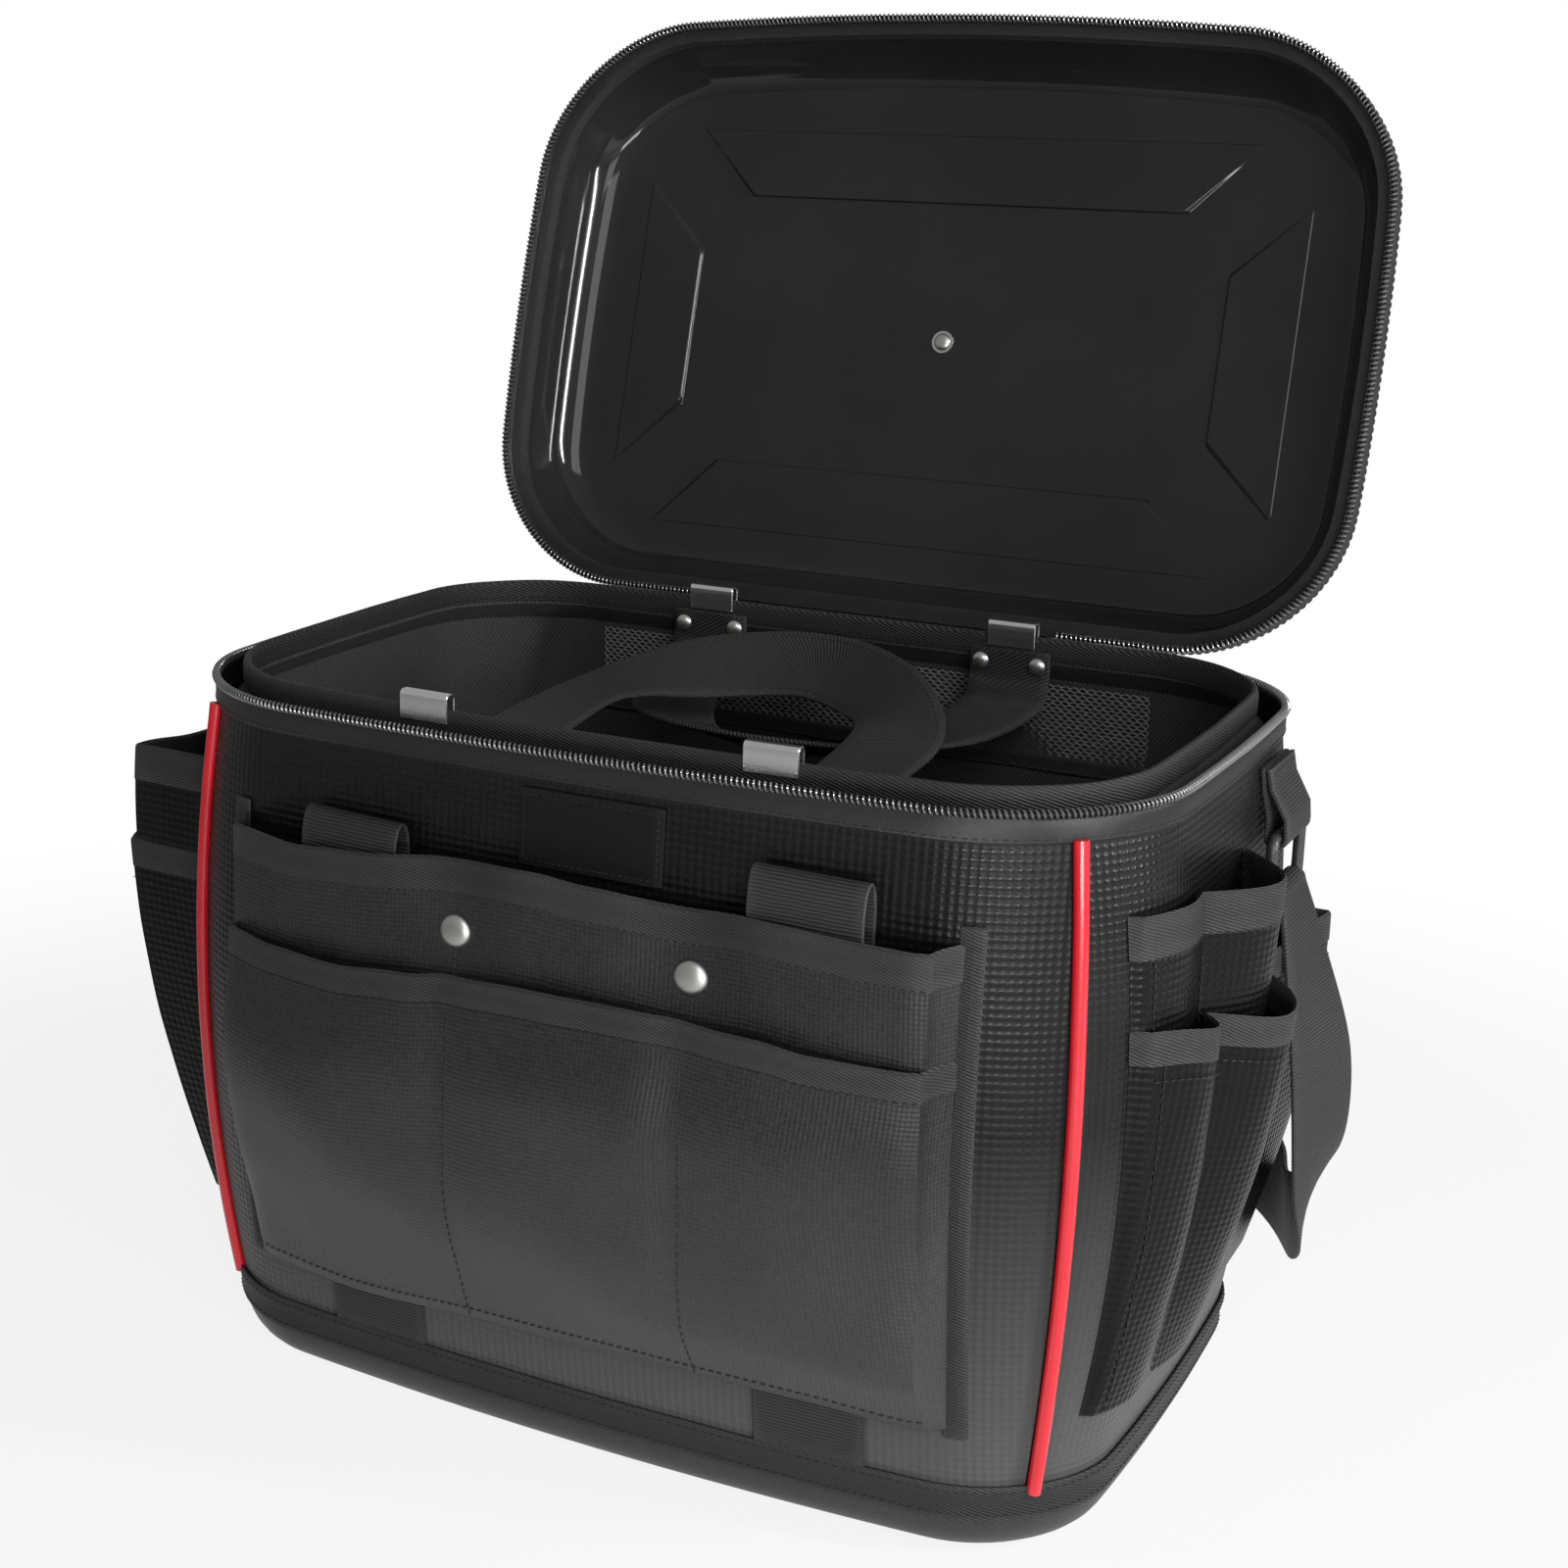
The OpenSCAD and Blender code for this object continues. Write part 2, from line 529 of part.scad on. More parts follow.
// Webbing sewn up the front wall behind the pocket, folded to a loop at its top
web_top = upper_top + 14;
module front_webbing(s) {
    x0 = s*web_x;
    color(black) {
        loft([for (z = pocket_rows(tray_h + 9, web_top - 8, 5)) lift(concat(
            [for (x = spread(x0 - web_w/2, x0 + web_w/2, 2)) [x, front_y(x, z, -near_wall + 0.3)]],
            [for (x = spread(x0 + web_w/2, x0 - web_w/2, 2)) [x, front_y(x, z, -tiny)]]), z)]);
        difference() {
            loft([for (z = [web_top - 18, web_top - 3, web_top]) lift(concat(
                [for (x = spread(x0 - web_w/2, x0 + web_w/2, 2)) [x, front_y(x, z, -(z == web_top ? 9 : 12))]],
                [for (x = spread(x0 + web_w/2, x0 - web_w/2, 2)) [x, front_y(x, z, -tiny)]]), z)]);
            loft([for (z = [web_top - 20, web_top - 2]) lift(concat(
                [for (x = spread(x0 - web_w, x0 + web_w, 4)) [x, front_y(x, z, -10.4)]],
                [for (x = spread(x0 + web_w, x0 - web_w, 4)) [x, front_y(x, z, -near_wall + 0.3)]]), z)]);
        }
    }
}
module front_webbing_right() { front_webbing(1); }
module front_webbing_left() { front_webbing(-1); }

// Side pockets: two tubes in the upper layer, a third one behind them in the lower layer
side_a = -side_front;
side_b = side_len - side_front;
side_c = side_b + rear_len;
split = 5/12;
tube_n = 12;
rear_n = 6;
function along(y) = (y - side_a)/side_len;
function bump(v) = v < split ? sin(180*v/split) : sin(180*(v - split)/(1 - split));
function right_flare(v) = v < split ? 0.16 + 0.34*bump(v) : 0.16 + 0.84*bump(v);
function left_flare(v) = v < split ? 1 - 0.3*sin(90*v/split) : 0.7 - 0.2*pow((v - split)/(1 - split), 2) + 0.08*bump(v);
function rise(z) = (z - side_foot)/(side_upper_top - side_foot);
function upper_face(y, z, left) = tiny + (left
    ? left_flare(along(y))*grow(z, side_foot, side_upper_top, 5, side_open_deep)
    : right_flare(along(y))*(4 + (side_upper_deep - 4)*rise(z)));
function rear_share(y) = (y - side_b)/rear_len;
function rear_bump(v) = sin(90*min(1, v/0.4)) + 0.9*max(0, (v - 0.6)/0.4);
function lower_near(y, z, left) = tiny + (y <= side_b ? upper_face(y, z, left)
    : upper_face(side_b, z, left)*max(0, 1 - rear_share(y)*rear_n));
function lower_face(y, z, left) = lower_near(y, z, left) + 2.4
    + grow(z, side_foot, side_lower_top, 1, side_lower_deep)*(y <= side_b ? bump(along(y)) : rear_bump(rear_share(y)));
upper_ys = spread(side_a, side_b, tube_n);
lower_ys = concat(upper_ys, [for (k = [1 : rear_n]) side_b + rear_len*k/rear_n]);
function tuck(y, ys) = min(max(y, ys[0] + cloth_t), ys[len(ys) - 1] - cloth_t);
function side_loop(z, ys, near, far, inner) = let (e = ys[len(ys) - 1]) concat(
    [[right_x(side_a, z, -near(side_a, z)), side_a]],
    [for (y = ys) [right_x(y, z, -far(y, z)), y]],
    [[right_x(e, z, -near(e, z)), e], [right_x(e - cloth_t, z, -near(e, z)), e - cloth_t]],
    [for (y = back_to_front(ys)) let (t = tuck(y, ys)) [right_x(t, z, -inner(t, z)), t]],
    [[right_x(side_a + cloth_t, z, -near(side_a, z)), side_a + cloth_t]]);
module side_pocket(top, ys, near, far) {
    color(black)
    loft(concat(
        [for (z = [side_foot, side_foot + foot_h])
            lift(side_loop(z, ys, near, far, function(y, z) near(y, z) + 0.05), z)],
        [for (z = pocket_rows(side_foot + 4*foot_h, top, 4))
            lift(side_loop(z, ys, near, far, function(y, z) max(far(y, z) - cloth_t, near(y, z) + 0.05)), z)]));
}
module side_upper(left) {
    side_pocket(side_upper_top, upper_ys, function(y, z) tiny, function(y, z) upper_face(y, z, left));
}
module side_lower(left) {
    side_pocket(side_lower_top, lower_ys, function(y, z) lower_near(y, z, left), function(y, z) lower_face(y, z, left));
}
module side_edge(top, ys, far) {
    loft([for (z = pocket_rows(top - edge_h, top + 1.2, 2)) lift(concat(
        [for (y = ys) [right_x(y, z, -far(y, z) - 1.4), y]],
        [for (y = back_to_front(ys)) [right_x(y, z, -far(y, z) - 0.4), y]]), z)]);
}
module side_bindings(left) {
    color(black) {
        side_edge(side_upper_top, upper_ys, function(y, z) upper_face(y, z, left));
        side_edge(side_lower_top, lower_ys, function(y, z) lower_face(y, z, left));
    }
}
module right_pocket_upper() { side_upper(false); }
module right_pocket_lower() { side_lower(false); }
module right_pocket_bindings() { side_bindings(false); }
module left_pocket_upper() { mirror([1, 0, 0]) side_upper(true); }
module left_pocket_lower() { mirror([1, 0, 0]) side_lower(true); }
module left_pocket_bindings() { mirror([1, 0, 0]) side_bindings(true); }

// Shoulder strap: sewn tabs, wire rings and one length of webbing round the back
tab_r = ring_wire/2 + 0.35 + strap_t;
anchor_near = anchor_y - strap_w/2;
bar_z = tab_low - ring_h;
ring_x = max([for (z = [tab_low, bar_z, bar_z - 16]) right_x(anchor_near, z)]) + tiny + 0.1 + tab_r;
module anchor_tab() {
    x0 = right_x(anchor_near, wall_z1 - 4) + tiny + 0.1;
    color(black)
    translate([0, anchor_y + strap_w/2, 0]) rotate([90, 0, 0]) linear_extrude(strap_w)
    difference() {
        union() {
            polygon([[x0, wall_z1 - 4], [x0 + 2*strap_t, wall_z1 - 4], [ring_x + tab_r, tab_low], [ring_x - tab_r, tab_low]]);
            translate([ring_x, tab_low]) circle(r = tab_r);
        }
        translate([ring_x, tab_low]) circle(r = tab_r - strap_t);
    }
}
module anchor_tab_right() { anchor_tab(); }
module anchor_tab_left() { mirror([1, 0, 0]) anchor_tab(); }

module ring_body() {
    color([0.15, 0.15, 0.16]) {
        for (z = [tab_low, bar_z])
            translate([ring_x, anchor_y - ring_w/2 + ring_wire/2, z]) rotate([-90, 0, 0])
            cylinder(d = ring_wire, h = ring_w - ring_wire);
        for (s = [-1, 1]) {
            translate([ring_x, anchor_y + s*(ring_w - ring_wire)/2, bar_z]) cylinder(d = ring_wire, h = ring_h);
            for (z = [tab_low, bar_z]) translate([ring_x, anchor_y + s*(ring_w - ring_wire)/2, z]) sphere(d = ring_wire);
        }
    }
}
module strap_ring_right() { ring_body(); }
module strap_ring_left() { mirror([1, 0, 0]) ring_body(); }

loop_r = ring_wire/2 + 0.35 + strap_t/2;
rear_gap = d_at(150)/2 - bow_front + 20;
strap_half = [[ring_x + loop_r, anchor_y, bar_z], [ring_x + loop_r + 9, anchor_y + 1, bar_z - 24],
    [ring_x + 26, anchor_y + 8, bar_z - 78], [ring_x + 24, anchor_y + 26, bar_z - 130],
    [ring_x + 8, anchor_y + 50, bar_z - 164], [ring_x - 20, rear_gap - 16, bar_z - 164],
    [ring_x - 70, rear_gap, bar_z - 140], [ring_x - 140, rear_gap + 2, bar_z - 112], [0, rear_gap + 2, bar_z - 104]];
wide_half = [[0, 1, 0], [0, 1, 0], [0, 1, 0.2], [-0.2, 1, 0.5], [-0.3, 0.6, 1], [0, 0.2, 1], [0, 0, 1], [0, 0, 1], [0, 0, 1]];
function flip_x(v) = [for (i = [len(v) - 2 : -1 : 0]) [-v[i].x, v[i].y, v[i].z]];
module shoulder_strap() {
    path = smooth(concat(strap_half, flip_x(strap_half)), 4);
    wide = smooth(concat(wide_half, flip_x(wide_half)), 4);
    color(black) {
        loft(sections(path, wide, flat_shape(strap_w, strap_t)));
        for (s = [0, 1]) mirror([s, 0, 0])
        translate([ring_x, anchor_y + strap_w/2, bar_z]) rotate([90, 0, 0]) linear_extrude(strap_w)
        difference() {
            union() {
                circle(r = loop_r + strap_t/2);
                translate([-loop_r - strap_t/2, -16]) square([strap_t, 16]);
            }
            circle(r = loop_r - strap_t/2);
            translate([0, -20]) square([20, 20]);
        }
    }
}

// Lid, drawn shut and turned open about the hinge
module opened() {
    translate([0, hinge_y, hinge_z]) rotate([-open_angle, 0, 0]) translate([0, -hinge_y, -hinge_z]) children();
}
shell_levels = [[3.2, lid_z0 + 2], [3.4, lid_rim + 6], [7, pan_z - 14], [12, pan_z - 4], [18, pan_z + 2], [26, shell_top]];
function shell_off(k) = shell_levels[k][0];
module lid_shell() {
    color(black) opened()
    loft(concat(
        [for (k = [5 : -1 : 0]) lift(lid_ring(shell_off(k) + shell_t), k == 0 ? shell_levels[0][1] : shell_levels[k][1] - shell_t)],
        [for (k = [0 : 5]) lift(lid_ring(shell_off(k)), shell_levels[k][1])]));
}
liner_off = shell_t + layer_gap;
function liner_z(k) = k == 0 ? shell_levels[0][1] : shell_levels[k][1] - shell_t - layer_gap;
module trapezoid(pts) {
    translate([0, 0, pan_z - pad_h]) linear_extrude(pad_h + 0.4) polygon(pts);
}
pad_x = 143;
pad_y = 101;
pad_band = 33;
pad_side = 170;
pad_side_y = 71;
module lid_liner() {
    color(black) opened() {
        loft(concat(
            [for (k = [5 : -1 : 0]) lift(lid_ring(shell_off(k) + liner_off + liner_t), k == 0 ? liner_z(0) : liner_z(k) - liner_t)],
            [for (k = [0 : 5]) lift(lid_ring(shell_off(k) + liner_off), liner_z(k))]));
        for (s = [-1, 1]) {
            trapezoid([[-pad_x, s*pad_y], [pad_x, s*pad_y], [pad_x - pad_band, s*(pad_y - pad_band)],
                       [pad_band - pad_x, s*(pad_y - pad_band)]]);
            trapezoid([[s*pad_side, -pad_side_y], [s*pad_side, pad_side_y], [s*(pad_side - pad_band), pad_side_y - pad_band],
                       [s*(pad_side - pad_band), pad_band - pad_side_y]]);
        }
    }
}
module lid_binding() {
    color(black) opened()
    loft([for (p = [[0.6, lid_z0 + 0.6], [0.4, lid_rim + 5], [shell_off(1) - 0.25, lid_rim + 5.6], [shell_off(0) - 0.25, lid_z0 + 1.7],
                    [shell_off(0) + liner_off + liner_t + 0.25, lid_z0 + 1.7], [shell_off(0) + liner_off + liner_t + 0.3, lid_z0 + 8],
                    [shell_off(0) + liner_off + liner_t + 1.5, lid_z0 + 7.6], [shell_off(0) + liner_off + liner_t + 1.5, lid_z0 + 0.6]])
        lift(lid_ring(p[0]), p[1])], looped = true);
}
module lid_zip_tape() {
    w = rim_w + 2*lid_over;
    d = rim_d + 2*lid_over;
    path = lift(zip_path(w - 6, d - 6, rim_r + lid_over - 3), lid_z0 - 0.15);
    color(black) opened() loft(sections(path, upward(path), flat_shape(0.9, 5)));
}
module lid_zip_coil() {
    path = lift(zip_path(rim_w + 2*coil_out, rim_d + 2*coil_out, rim_r + coil_out), rim_h + coil_d/2 + 0.2);
    color(black) opened() loft(sections(path, upward(path), round_shape(coil_d/2, 6)));
}
module lid_rivet() {
    color(steel) opened() translate([0, 0, pan_z - 0.05]) rotate([180, 0, 0]) rivet_head(8.6, 2);
}
module lid_hinge_strip() {
    color(black) opened()
    rotate([90, 0, 90]) translate([0, 0, -hinge_half]) linear_extrude(2*hinge_half)
    polygon([[rear_y + lid_over + 0.1, lid_rim], [rear_y + lid_over + 1.2, lid_rim], [hinge_y + 0.6, hinge_z + 1],
             [hinge_y - 0.9, hinge_z + 0.6], [rear_y + lid_over + 0.1, lid_z0 + 0.5]]);
}

base_tray();
floor_board();
base_binding();
front_panel();
right_panel();
rear_panel();
left_panel();
front_board();
right_board();
rear_board();
left_board();
lining();
lining_binding();
piping_front_left();
piping_front_right();
piping_rear_right();
piping_rear_left();
body_zip_tape();
body_zip_coil();
hinge_strip();
slider_right();
slider_left();
pull_right();
pull_left();
carry_handle_front();
carry_handle_rear();
strap_clips();
strap_rivets();
net_pocket();
net_binding();
front_pocket_upper();
front_pocket_lower();
front_upper_binding();
front_lower_binding();
pocket_rivets();
front_patch();
front_webbing_right();
front_webbing_left();
right_pocket_upper();
right_pocket_lower();
right_pocket_bindings();
left_pocket_upper();
left_pocket_lower();
left_pocket_bindings();
anchor_tab_right();
anchor_tab_left();
strap_ring_right();
strap_ring_left();
shoulder_strap();
lid_shell();
lid_liner();
lid_binding();
lid_zip_tape();
lid_zip_coil();
lid_rivet();
lid_hinge_strip();
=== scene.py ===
import math
import bmesh
import bpy
from mathutils import Matrix, Vector, noise


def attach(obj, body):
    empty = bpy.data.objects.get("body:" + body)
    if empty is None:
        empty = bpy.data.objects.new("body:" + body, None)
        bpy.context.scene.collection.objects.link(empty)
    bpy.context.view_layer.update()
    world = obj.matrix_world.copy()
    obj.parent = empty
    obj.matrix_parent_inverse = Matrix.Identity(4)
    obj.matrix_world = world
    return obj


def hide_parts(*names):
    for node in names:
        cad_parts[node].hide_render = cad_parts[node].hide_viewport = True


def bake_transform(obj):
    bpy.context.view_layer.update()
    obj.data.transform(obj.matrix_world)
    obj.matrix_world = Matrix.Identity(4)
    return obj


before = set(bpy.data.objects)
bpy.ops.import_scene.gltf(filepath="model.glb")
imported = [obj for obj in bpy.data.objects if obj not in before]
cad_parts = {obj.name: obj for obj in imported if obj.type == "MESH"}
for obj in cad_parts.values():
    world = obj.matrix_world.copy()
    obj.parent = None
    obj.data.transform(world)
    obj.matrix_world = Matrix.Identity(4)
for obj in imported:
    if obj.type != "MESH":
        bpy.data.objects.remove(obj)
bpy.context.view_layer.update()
scene = bpy.context.scene
scene.view_settings.view_transform = "Standard"
print("frame loaded:", len(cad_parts), "nodes")

# bag outline in millimetres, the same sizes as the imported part
bag = {
    "rimWide": 430, "rimDeep": 296, "rimCorner": 70, "rimHigh": 305,
    "footWide": 409, "footDeep": 275, "footCorner": 52,
    "bowFront": 11, "bowSide": 6, "bulge": 8,
    "trayRound": 20, "wallLow": 26.3, "wallHigh": 292,
    "liningOut": 4.1, "liningTop": 308.5, "lean": 7.9,
    "hingeY": 139.6, "hingeZ": 305.8, "openAngle": 105, "lidOver": 2, "panZ": 347,
}
sideTurns = [lambda x, y: (x, y), lambda x, y: (-y, x), lambda x, y: (-x, -y), lambda x, y: (y, -x)]
fullTurn = 6.2832
# share of its size at which a ring counts as closed
closed = 0.0004


def wallSize(z, off=0):
    t = min(1, max(0, (z - bag["wallLow"]) / (bag["wallHigh"] - bag["wallLow"])))
    swell = 8 * bag["bulge"] * t * (1 - t)
    wide = bag["footWide"] + (bag["rimWide"] - bag["footWide"]) * t + swell - 2 * off
    deep = bag["footDeep"] + (bag["rimDeep"] - bag["footDeep"]) * t + swell - 2 * off
    return wide, deep, bag["footCorner"] + (bag["rimCorner"] - bag["footCorner"]) * t - off


def halves(wide, deep):
    return wide / 2 - bag["bowSide"], deep / 2 - bag["bowFront"]


def bowed(x, y, hw, hd):
    bx = x * (1 + bag["bowSide"] / hw * (1 - (y / hd) ** 2))
    return bx, y * (1 + bag["bowFront"] / hd * (1 - (x / hw) ** 2)) if y < 0 else y


def sidePoints(q, wide, deep, r, trim=0, corner=7, count=16):
    hw, hd = halves(wide, deep)
    hl, hm = (hw, hd) if q % 2 == 0 else (hd, hw)

    def arc(x, start, part):
        turns = [math.radians(start + part * k / corner) for k in range(corner + 1)]
        return [(x + r * math.cos(a), r - hm + r * math.sin(a)) for a in turns]
    flat = arc(r - hl, 225 + trim, 45 - trim)
    flat += [((hl - r) * (2 * k / count - 1), -hm) for k in range(1, count)]
    flat += arc(hl - r, 270, 45 - trim)
    return [bowed(*sideTurns[q](x, y), hw, hd) for x, y in flat]


def ringPoints(wide, deep, r):
    return [p for q in range(4) for p in sidePoints(q, wide, deep, r)[:-1]]


def wallRing(off, z, level=None):
    return [(x, y, z if level is None else level) for x, y in ringPoints(*wallSize(z, off))]


def lidRing(off, z):
    grow = 2 * bag["lidOver"] - 2 * off
    r = max(8, bag["rimCorner"] + bag["lidOver"] - off)
    return [(x, y, z) for x, y in ringPoints(bag["rimWide"] + grow, bag["rimDeep"] + grow, r)]


def shrunk(ring, level, shares):
    return [[(x * s, y * s, level) for x, y, z in ring] for s in shares]


def arcIn(x, hl, hm, r):
    over = abs(x) - hl + r
    return hm if over <= 0 else hm - r + math.sqrt(max(0, r * r - over * over))


def frontY(x, z, out=0):
    wide, deep, r = wallSize(z, -out)
    hw, hd = halves(wide, deep)
    return -arcIn(x, hw, hd, r) * (1 + bag["bowFront"] / hd * (1 - (x / hw) ** 2))


def rearY(x, z, out=0):
    wide, deep, r = wallSize(z, -out)
    return arcIn(x, *halves(wide, deep), r)


def rightX(y, z, out=0):
    wide, deep, r = wallSize(z, -out)
    hw, hd = halves(wide, deep)
    return arcIn(y, hd, hw, r) * (1 + bag["bowSide"] / hw * (1 - (y / hd) ** 2))


openTurn = math.radians(-bag["openAngle"])


def opened(p):
    y, z = p[1] - bag["hingeY"], p[2] - bag["hingeZ"]
    c, s = math.cos(openTurn), math.sin(openTurn)
    return p[0], bag["hingeY"] + y * c - z * s, bag["hingeZ"] + y * s + z * c


def ease(t):
    t = min(1, max(0, t))
    return t * t * (3 - 2 * t)


def between(keys, t):
    for (a, u), (b, v) in zip(keys, keys[1:]):
        if t <= b:
            return u + (v - u) * ease((t - a) / (b - a))
    return keys[-1][1]


def sine(degrees):
    return math.sin(math.radians(degrees))


def crease(x, y, z, scale, seed=0):
    return noise.noise(Vector((x / scale + seed, y / scale, z / scale)))


def rippled(ring, high, scale, seed=0):
    return [(x, y, z + high * crease(x, y, z, scale, seed)) for x, y, z in ring]


def spread(a, b, n):
    return [a + (b - a) * k / n for k in range(n + 1)]


def smoothRun(keys, n):
    def curve(p, q, r, s, t):
        return (2 * q + (r - p) * t + (2 * p - 5 * q + 4 * r - s) * t * t + (3 * q - p - 3 * r + s) * t ** 3) / 2
    out = []
    for i in range(len(keys) - 1):
        near = keys[max(i - 1, 0)], keys[i], keys[i + 1], keys[min(i + 2, len(keys) - 1)]
        out += [tuple(curve(*four, k / n) for four in zip(*near)) for k in range(n)]
    return out + [tuple(keys[-1])]


# a strap from the right half of its keys, each a place and a width direction, and their mirror image
def mirroredRun(keys, n):
    run = smoothRun(keys + [(-k[0], k[1], k[2], -k[3], k[4], k[5]) for k in reversed(keys[:-1])], n)
    return [p[:3] for p in run], [p[3:] for p in run]


def runLengths(points, wrap=False):
    ends = points + [points[0]] if wrap else points
    total = [0.0]
    for a, b in zip(ends, ends[1:]):
        total.append(total[-1] + math.dist(a, b))
    return total


# the step of a measured line that holds a length, looked for from step k on, and the share of that step
def stepAt(run, length, k):
    while k < len(run) - 2 and run[k + 1] < length:
        k += 1
    return k, (length - run[k]) / max(1e-6, run[k + 1] - run[k])


# sideways direction of a flat line at one of its points
def sideways(line, i, reach=1):
    a, b = line[max(i - reach, 0)], line[min(i + reach, len(line) - 1)]
    d = math.hypot(b[0] - a[0], b[1] - a[1])
    return -(b[1] - a[1]) / d, (b[0] - a[0]) / d


# points beside a strap's path, each given across its width and along its lift
def beside(path, wide, i, offsets, loop=False):
    n = len(path)
    a, b = (path[(i - 1) % n], path[(i + 1) % n]) if loop else (path[max(i - 1, 0)], path[min(i + 1, n - 1)])
    t = (Vector(b) - Vector(a)).normalized()
    u = Vector(wide[i])
    u = (u - t * u.dot(t)).normalized()
    v = t.cross(u)
    return [tuple(Vector(path[i]) + u * across + v * lift) for across, lift in offsets]


# a mesh in the making: every part of it lays its cloth coordinates in millimetres
class Sewn:
    def __init__(self):
        self.verts, self.faces, self.coords = [], [], []

    def grid(self, rows, wrap=False, loop=False):
        n, m = len(rows), len(rows[0])
        start = len(self.verts)
        down = runLengths([r[m // 2] for r in rows], loop)
        across = []
        for r in rows:
            run = runLengths(r, wrap)
            middle = 0 if wrap else run[-1] / 2
            across.append([u - middle for u in run])
            self.verts += r
        for i in range(n if loop else n - 1):
            k = (i + 1) % n
            for j in range(m if wrap else m - 1):
                w = (j + 1) % m
                self.faces.append((start + i * m + j, start + k * m + j, start + k * m + w, start + i * m + w))
                self.coords.append(((across[i][j], down[i]), (across[k][j], down[i + 1]),
                                    (across[k][j + 1], down[i + 1]), (across[i][j + 1], down[i])))
        return self

    def slab(self, outer, inner, wrap=False, soft=0.45):
        self.grid(outer, wrap).grid(inner, wrap)
        edges = [(outer[0], outer[1], inner[0]), (outer[-1], outer[-2], inner[-1])]
        if not wrap:
            for a, b in ((0, 1), (-1, -2)):
                edges.append(([r[a] for r in outer], [r[b] for r in outer], [r[a] for r in inner]))
        for edge, within, back in edges:
            middle = []
            for p, q, r in zip(edge, within, back):
                out = Vector(p) - Vector(q)
                push = math.dist(p, r) * soft
                middle.append(tuple((Vector(p) + Vector(r)) / 2 + (out.normalized() * push if out.length else out)))
            self.grid([edge, middle, back], wrap)
        return self

    def sweep(self, path, wide, section, loop=False, cap=True):
        if isinstance(wide, tuple):
            wide = [wide] * len(path)
        rows = [beside(path, wide, i, section, loop) for i in range(len(path))]
        self.grid(rows, wrap=True, loop=loop)
        if cap and not loop:
            for row in (rows[0], rows[-1]):
                middle = sum((Vector(p) for p in row), Vector()) / len(row)
                self.grid([row, [tuple(middle)] * len(row)], wrap=True)
        return self

    def lathe(self, at, axis, profile, count=28):
        turn = Vector((0, 0, 1)).rotation_difference(Vector(axis)).to_matrix()
        return self.grid([[tuple(Vector(at) + turn @ Vector((x, y, h))) for x, y in roundSection(r, count)]
                          for r, h in profile], wrap=True)

    # a row of sewn stitches along a line of points, lying on the cloth
    def stitches(self, line, stitch=2.6, gap=1.1, thick=0.3, loop=False):
        run = runLengths(line, loop)
        ends = line + [line[0]] if loop else line
        count = max(1, int(run[-1] / (stitch + gap)))
        step = run[-1] / count
        k = 0

        def along(s):
            nonlocal k
            k, t = stepAt(run, s, k)
            return Vector(ends[k]).lerp(Vector(ends[k + 1]), t)
        for i in range(count):
            a = along(i * step + gap / 2)
            b = along(i * step + gap / 2 + step - gap)
            d = (b - a).normalized()
            u = d.orthogonal().normalized()
            v = d.cross(u)
            start = len(self.verts)
            self.verts.append(tuple(a))
            for t, r in ((0.14, 0.75), (0.5, 1), (0.86, 0.75)):
                c = a.lerp(b, t)
                for j in range(5):
                    w = fullTurn * j / 5
                    self.verts.append(tuple(c + (u * math.cos(w) + v * math.sin(w)) * thick * r))
            self.verts.append(tuple(b))
            for j in range(5):
                n = (j + 1) % 5
                self.faces.append((start, start + 1 + j, start + 1 + n))
                for q in (start + 1, start + 6):
                    self.faces.append((q + j, q + 5 + j, q + 5 + n, q + n))
                self.faces.append((start + 11 + j, start + 16, start + 11 + n))
                x, y = 0.3 * j, 0.3 * j + 0.3
                self.coords.append(((0, 0), (x, 0.5), (y, 0.5)))
                self.coords += [((x, 0.5), (x, 1.5), (y, 1.5), (y, 0.5))] * 2
                self.coords.append(((x, 2), (0, 2.6), (y, 2)))
        return self

    # lid pieces are drawn on the shut lid and opened here
    def piece(self, name, look, body="bucket", nodes=(), slot=None, sharp=38, weld=True):
        verts = [opened(p) for p in self.verts] if body == "lid" else self.verts
        mesh = bpy.data.meshes.new(name)
        mesh.from_pydata([(x / 1000, y / 1000, z / 1000) for x, y, z in verts], [], self.faces)
        layer = mesh.uv_layers.new(name="cloth")
        layer.data.foreach_set("uv", [c for face in self.coords for uv in face for c in uv])
        if weld:
            work = bmesh.new()
            work.from_mesh(mesh)
            bmesh.ops.remove_doubles(work, verts=work.verts, dist=2e-6)
            bmesh.ops.dissolve_degenerate(work, edges=work.edges, dist=1e-7)
            bmesh.ops.recalc_face_normals(work, faces=work.faces)
            work.to_mesh(mesh)
            work.free()
        mesh.materials.append(finishes[look])
        mesh.shade_smooth()
        mesh.set_sharp_from_angle(angle=math.radians(sharp))
        obj = bpy.data.objects.new(name, mesh)
        scene.collection.objects.link(obj)
        if body:
            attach(obj, body)
        if nodes:
            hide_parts(*nodes)
        return obj

    def threads(self, name, slot, body="bucket"):
        return self.piece(name, "thread", body, slot=slot, weld=False)


def tapeSection(wide, thick, edge=0.8, count=6):
    top = [(-wide / 2 + edge + (wide - 2 * edge) * k / count, thick / 2) for k in range(count + 1)]
    low = [(x, -thick / 2) for x, y in reversed(top)]
    x, y = wide / 2 - edge * 0.2, thick * 0.3
    return top + [(x, y), (wide / 2, 0), (x, -y)] + low + [(-x, -y), (-wide / 2, 0), (-x, y)]


def roundSection(r, count=10):
    return [(r * math.cos(fullTurn * k / count), r * math.sin(fullTurn * k / count)) for k in range(count)]


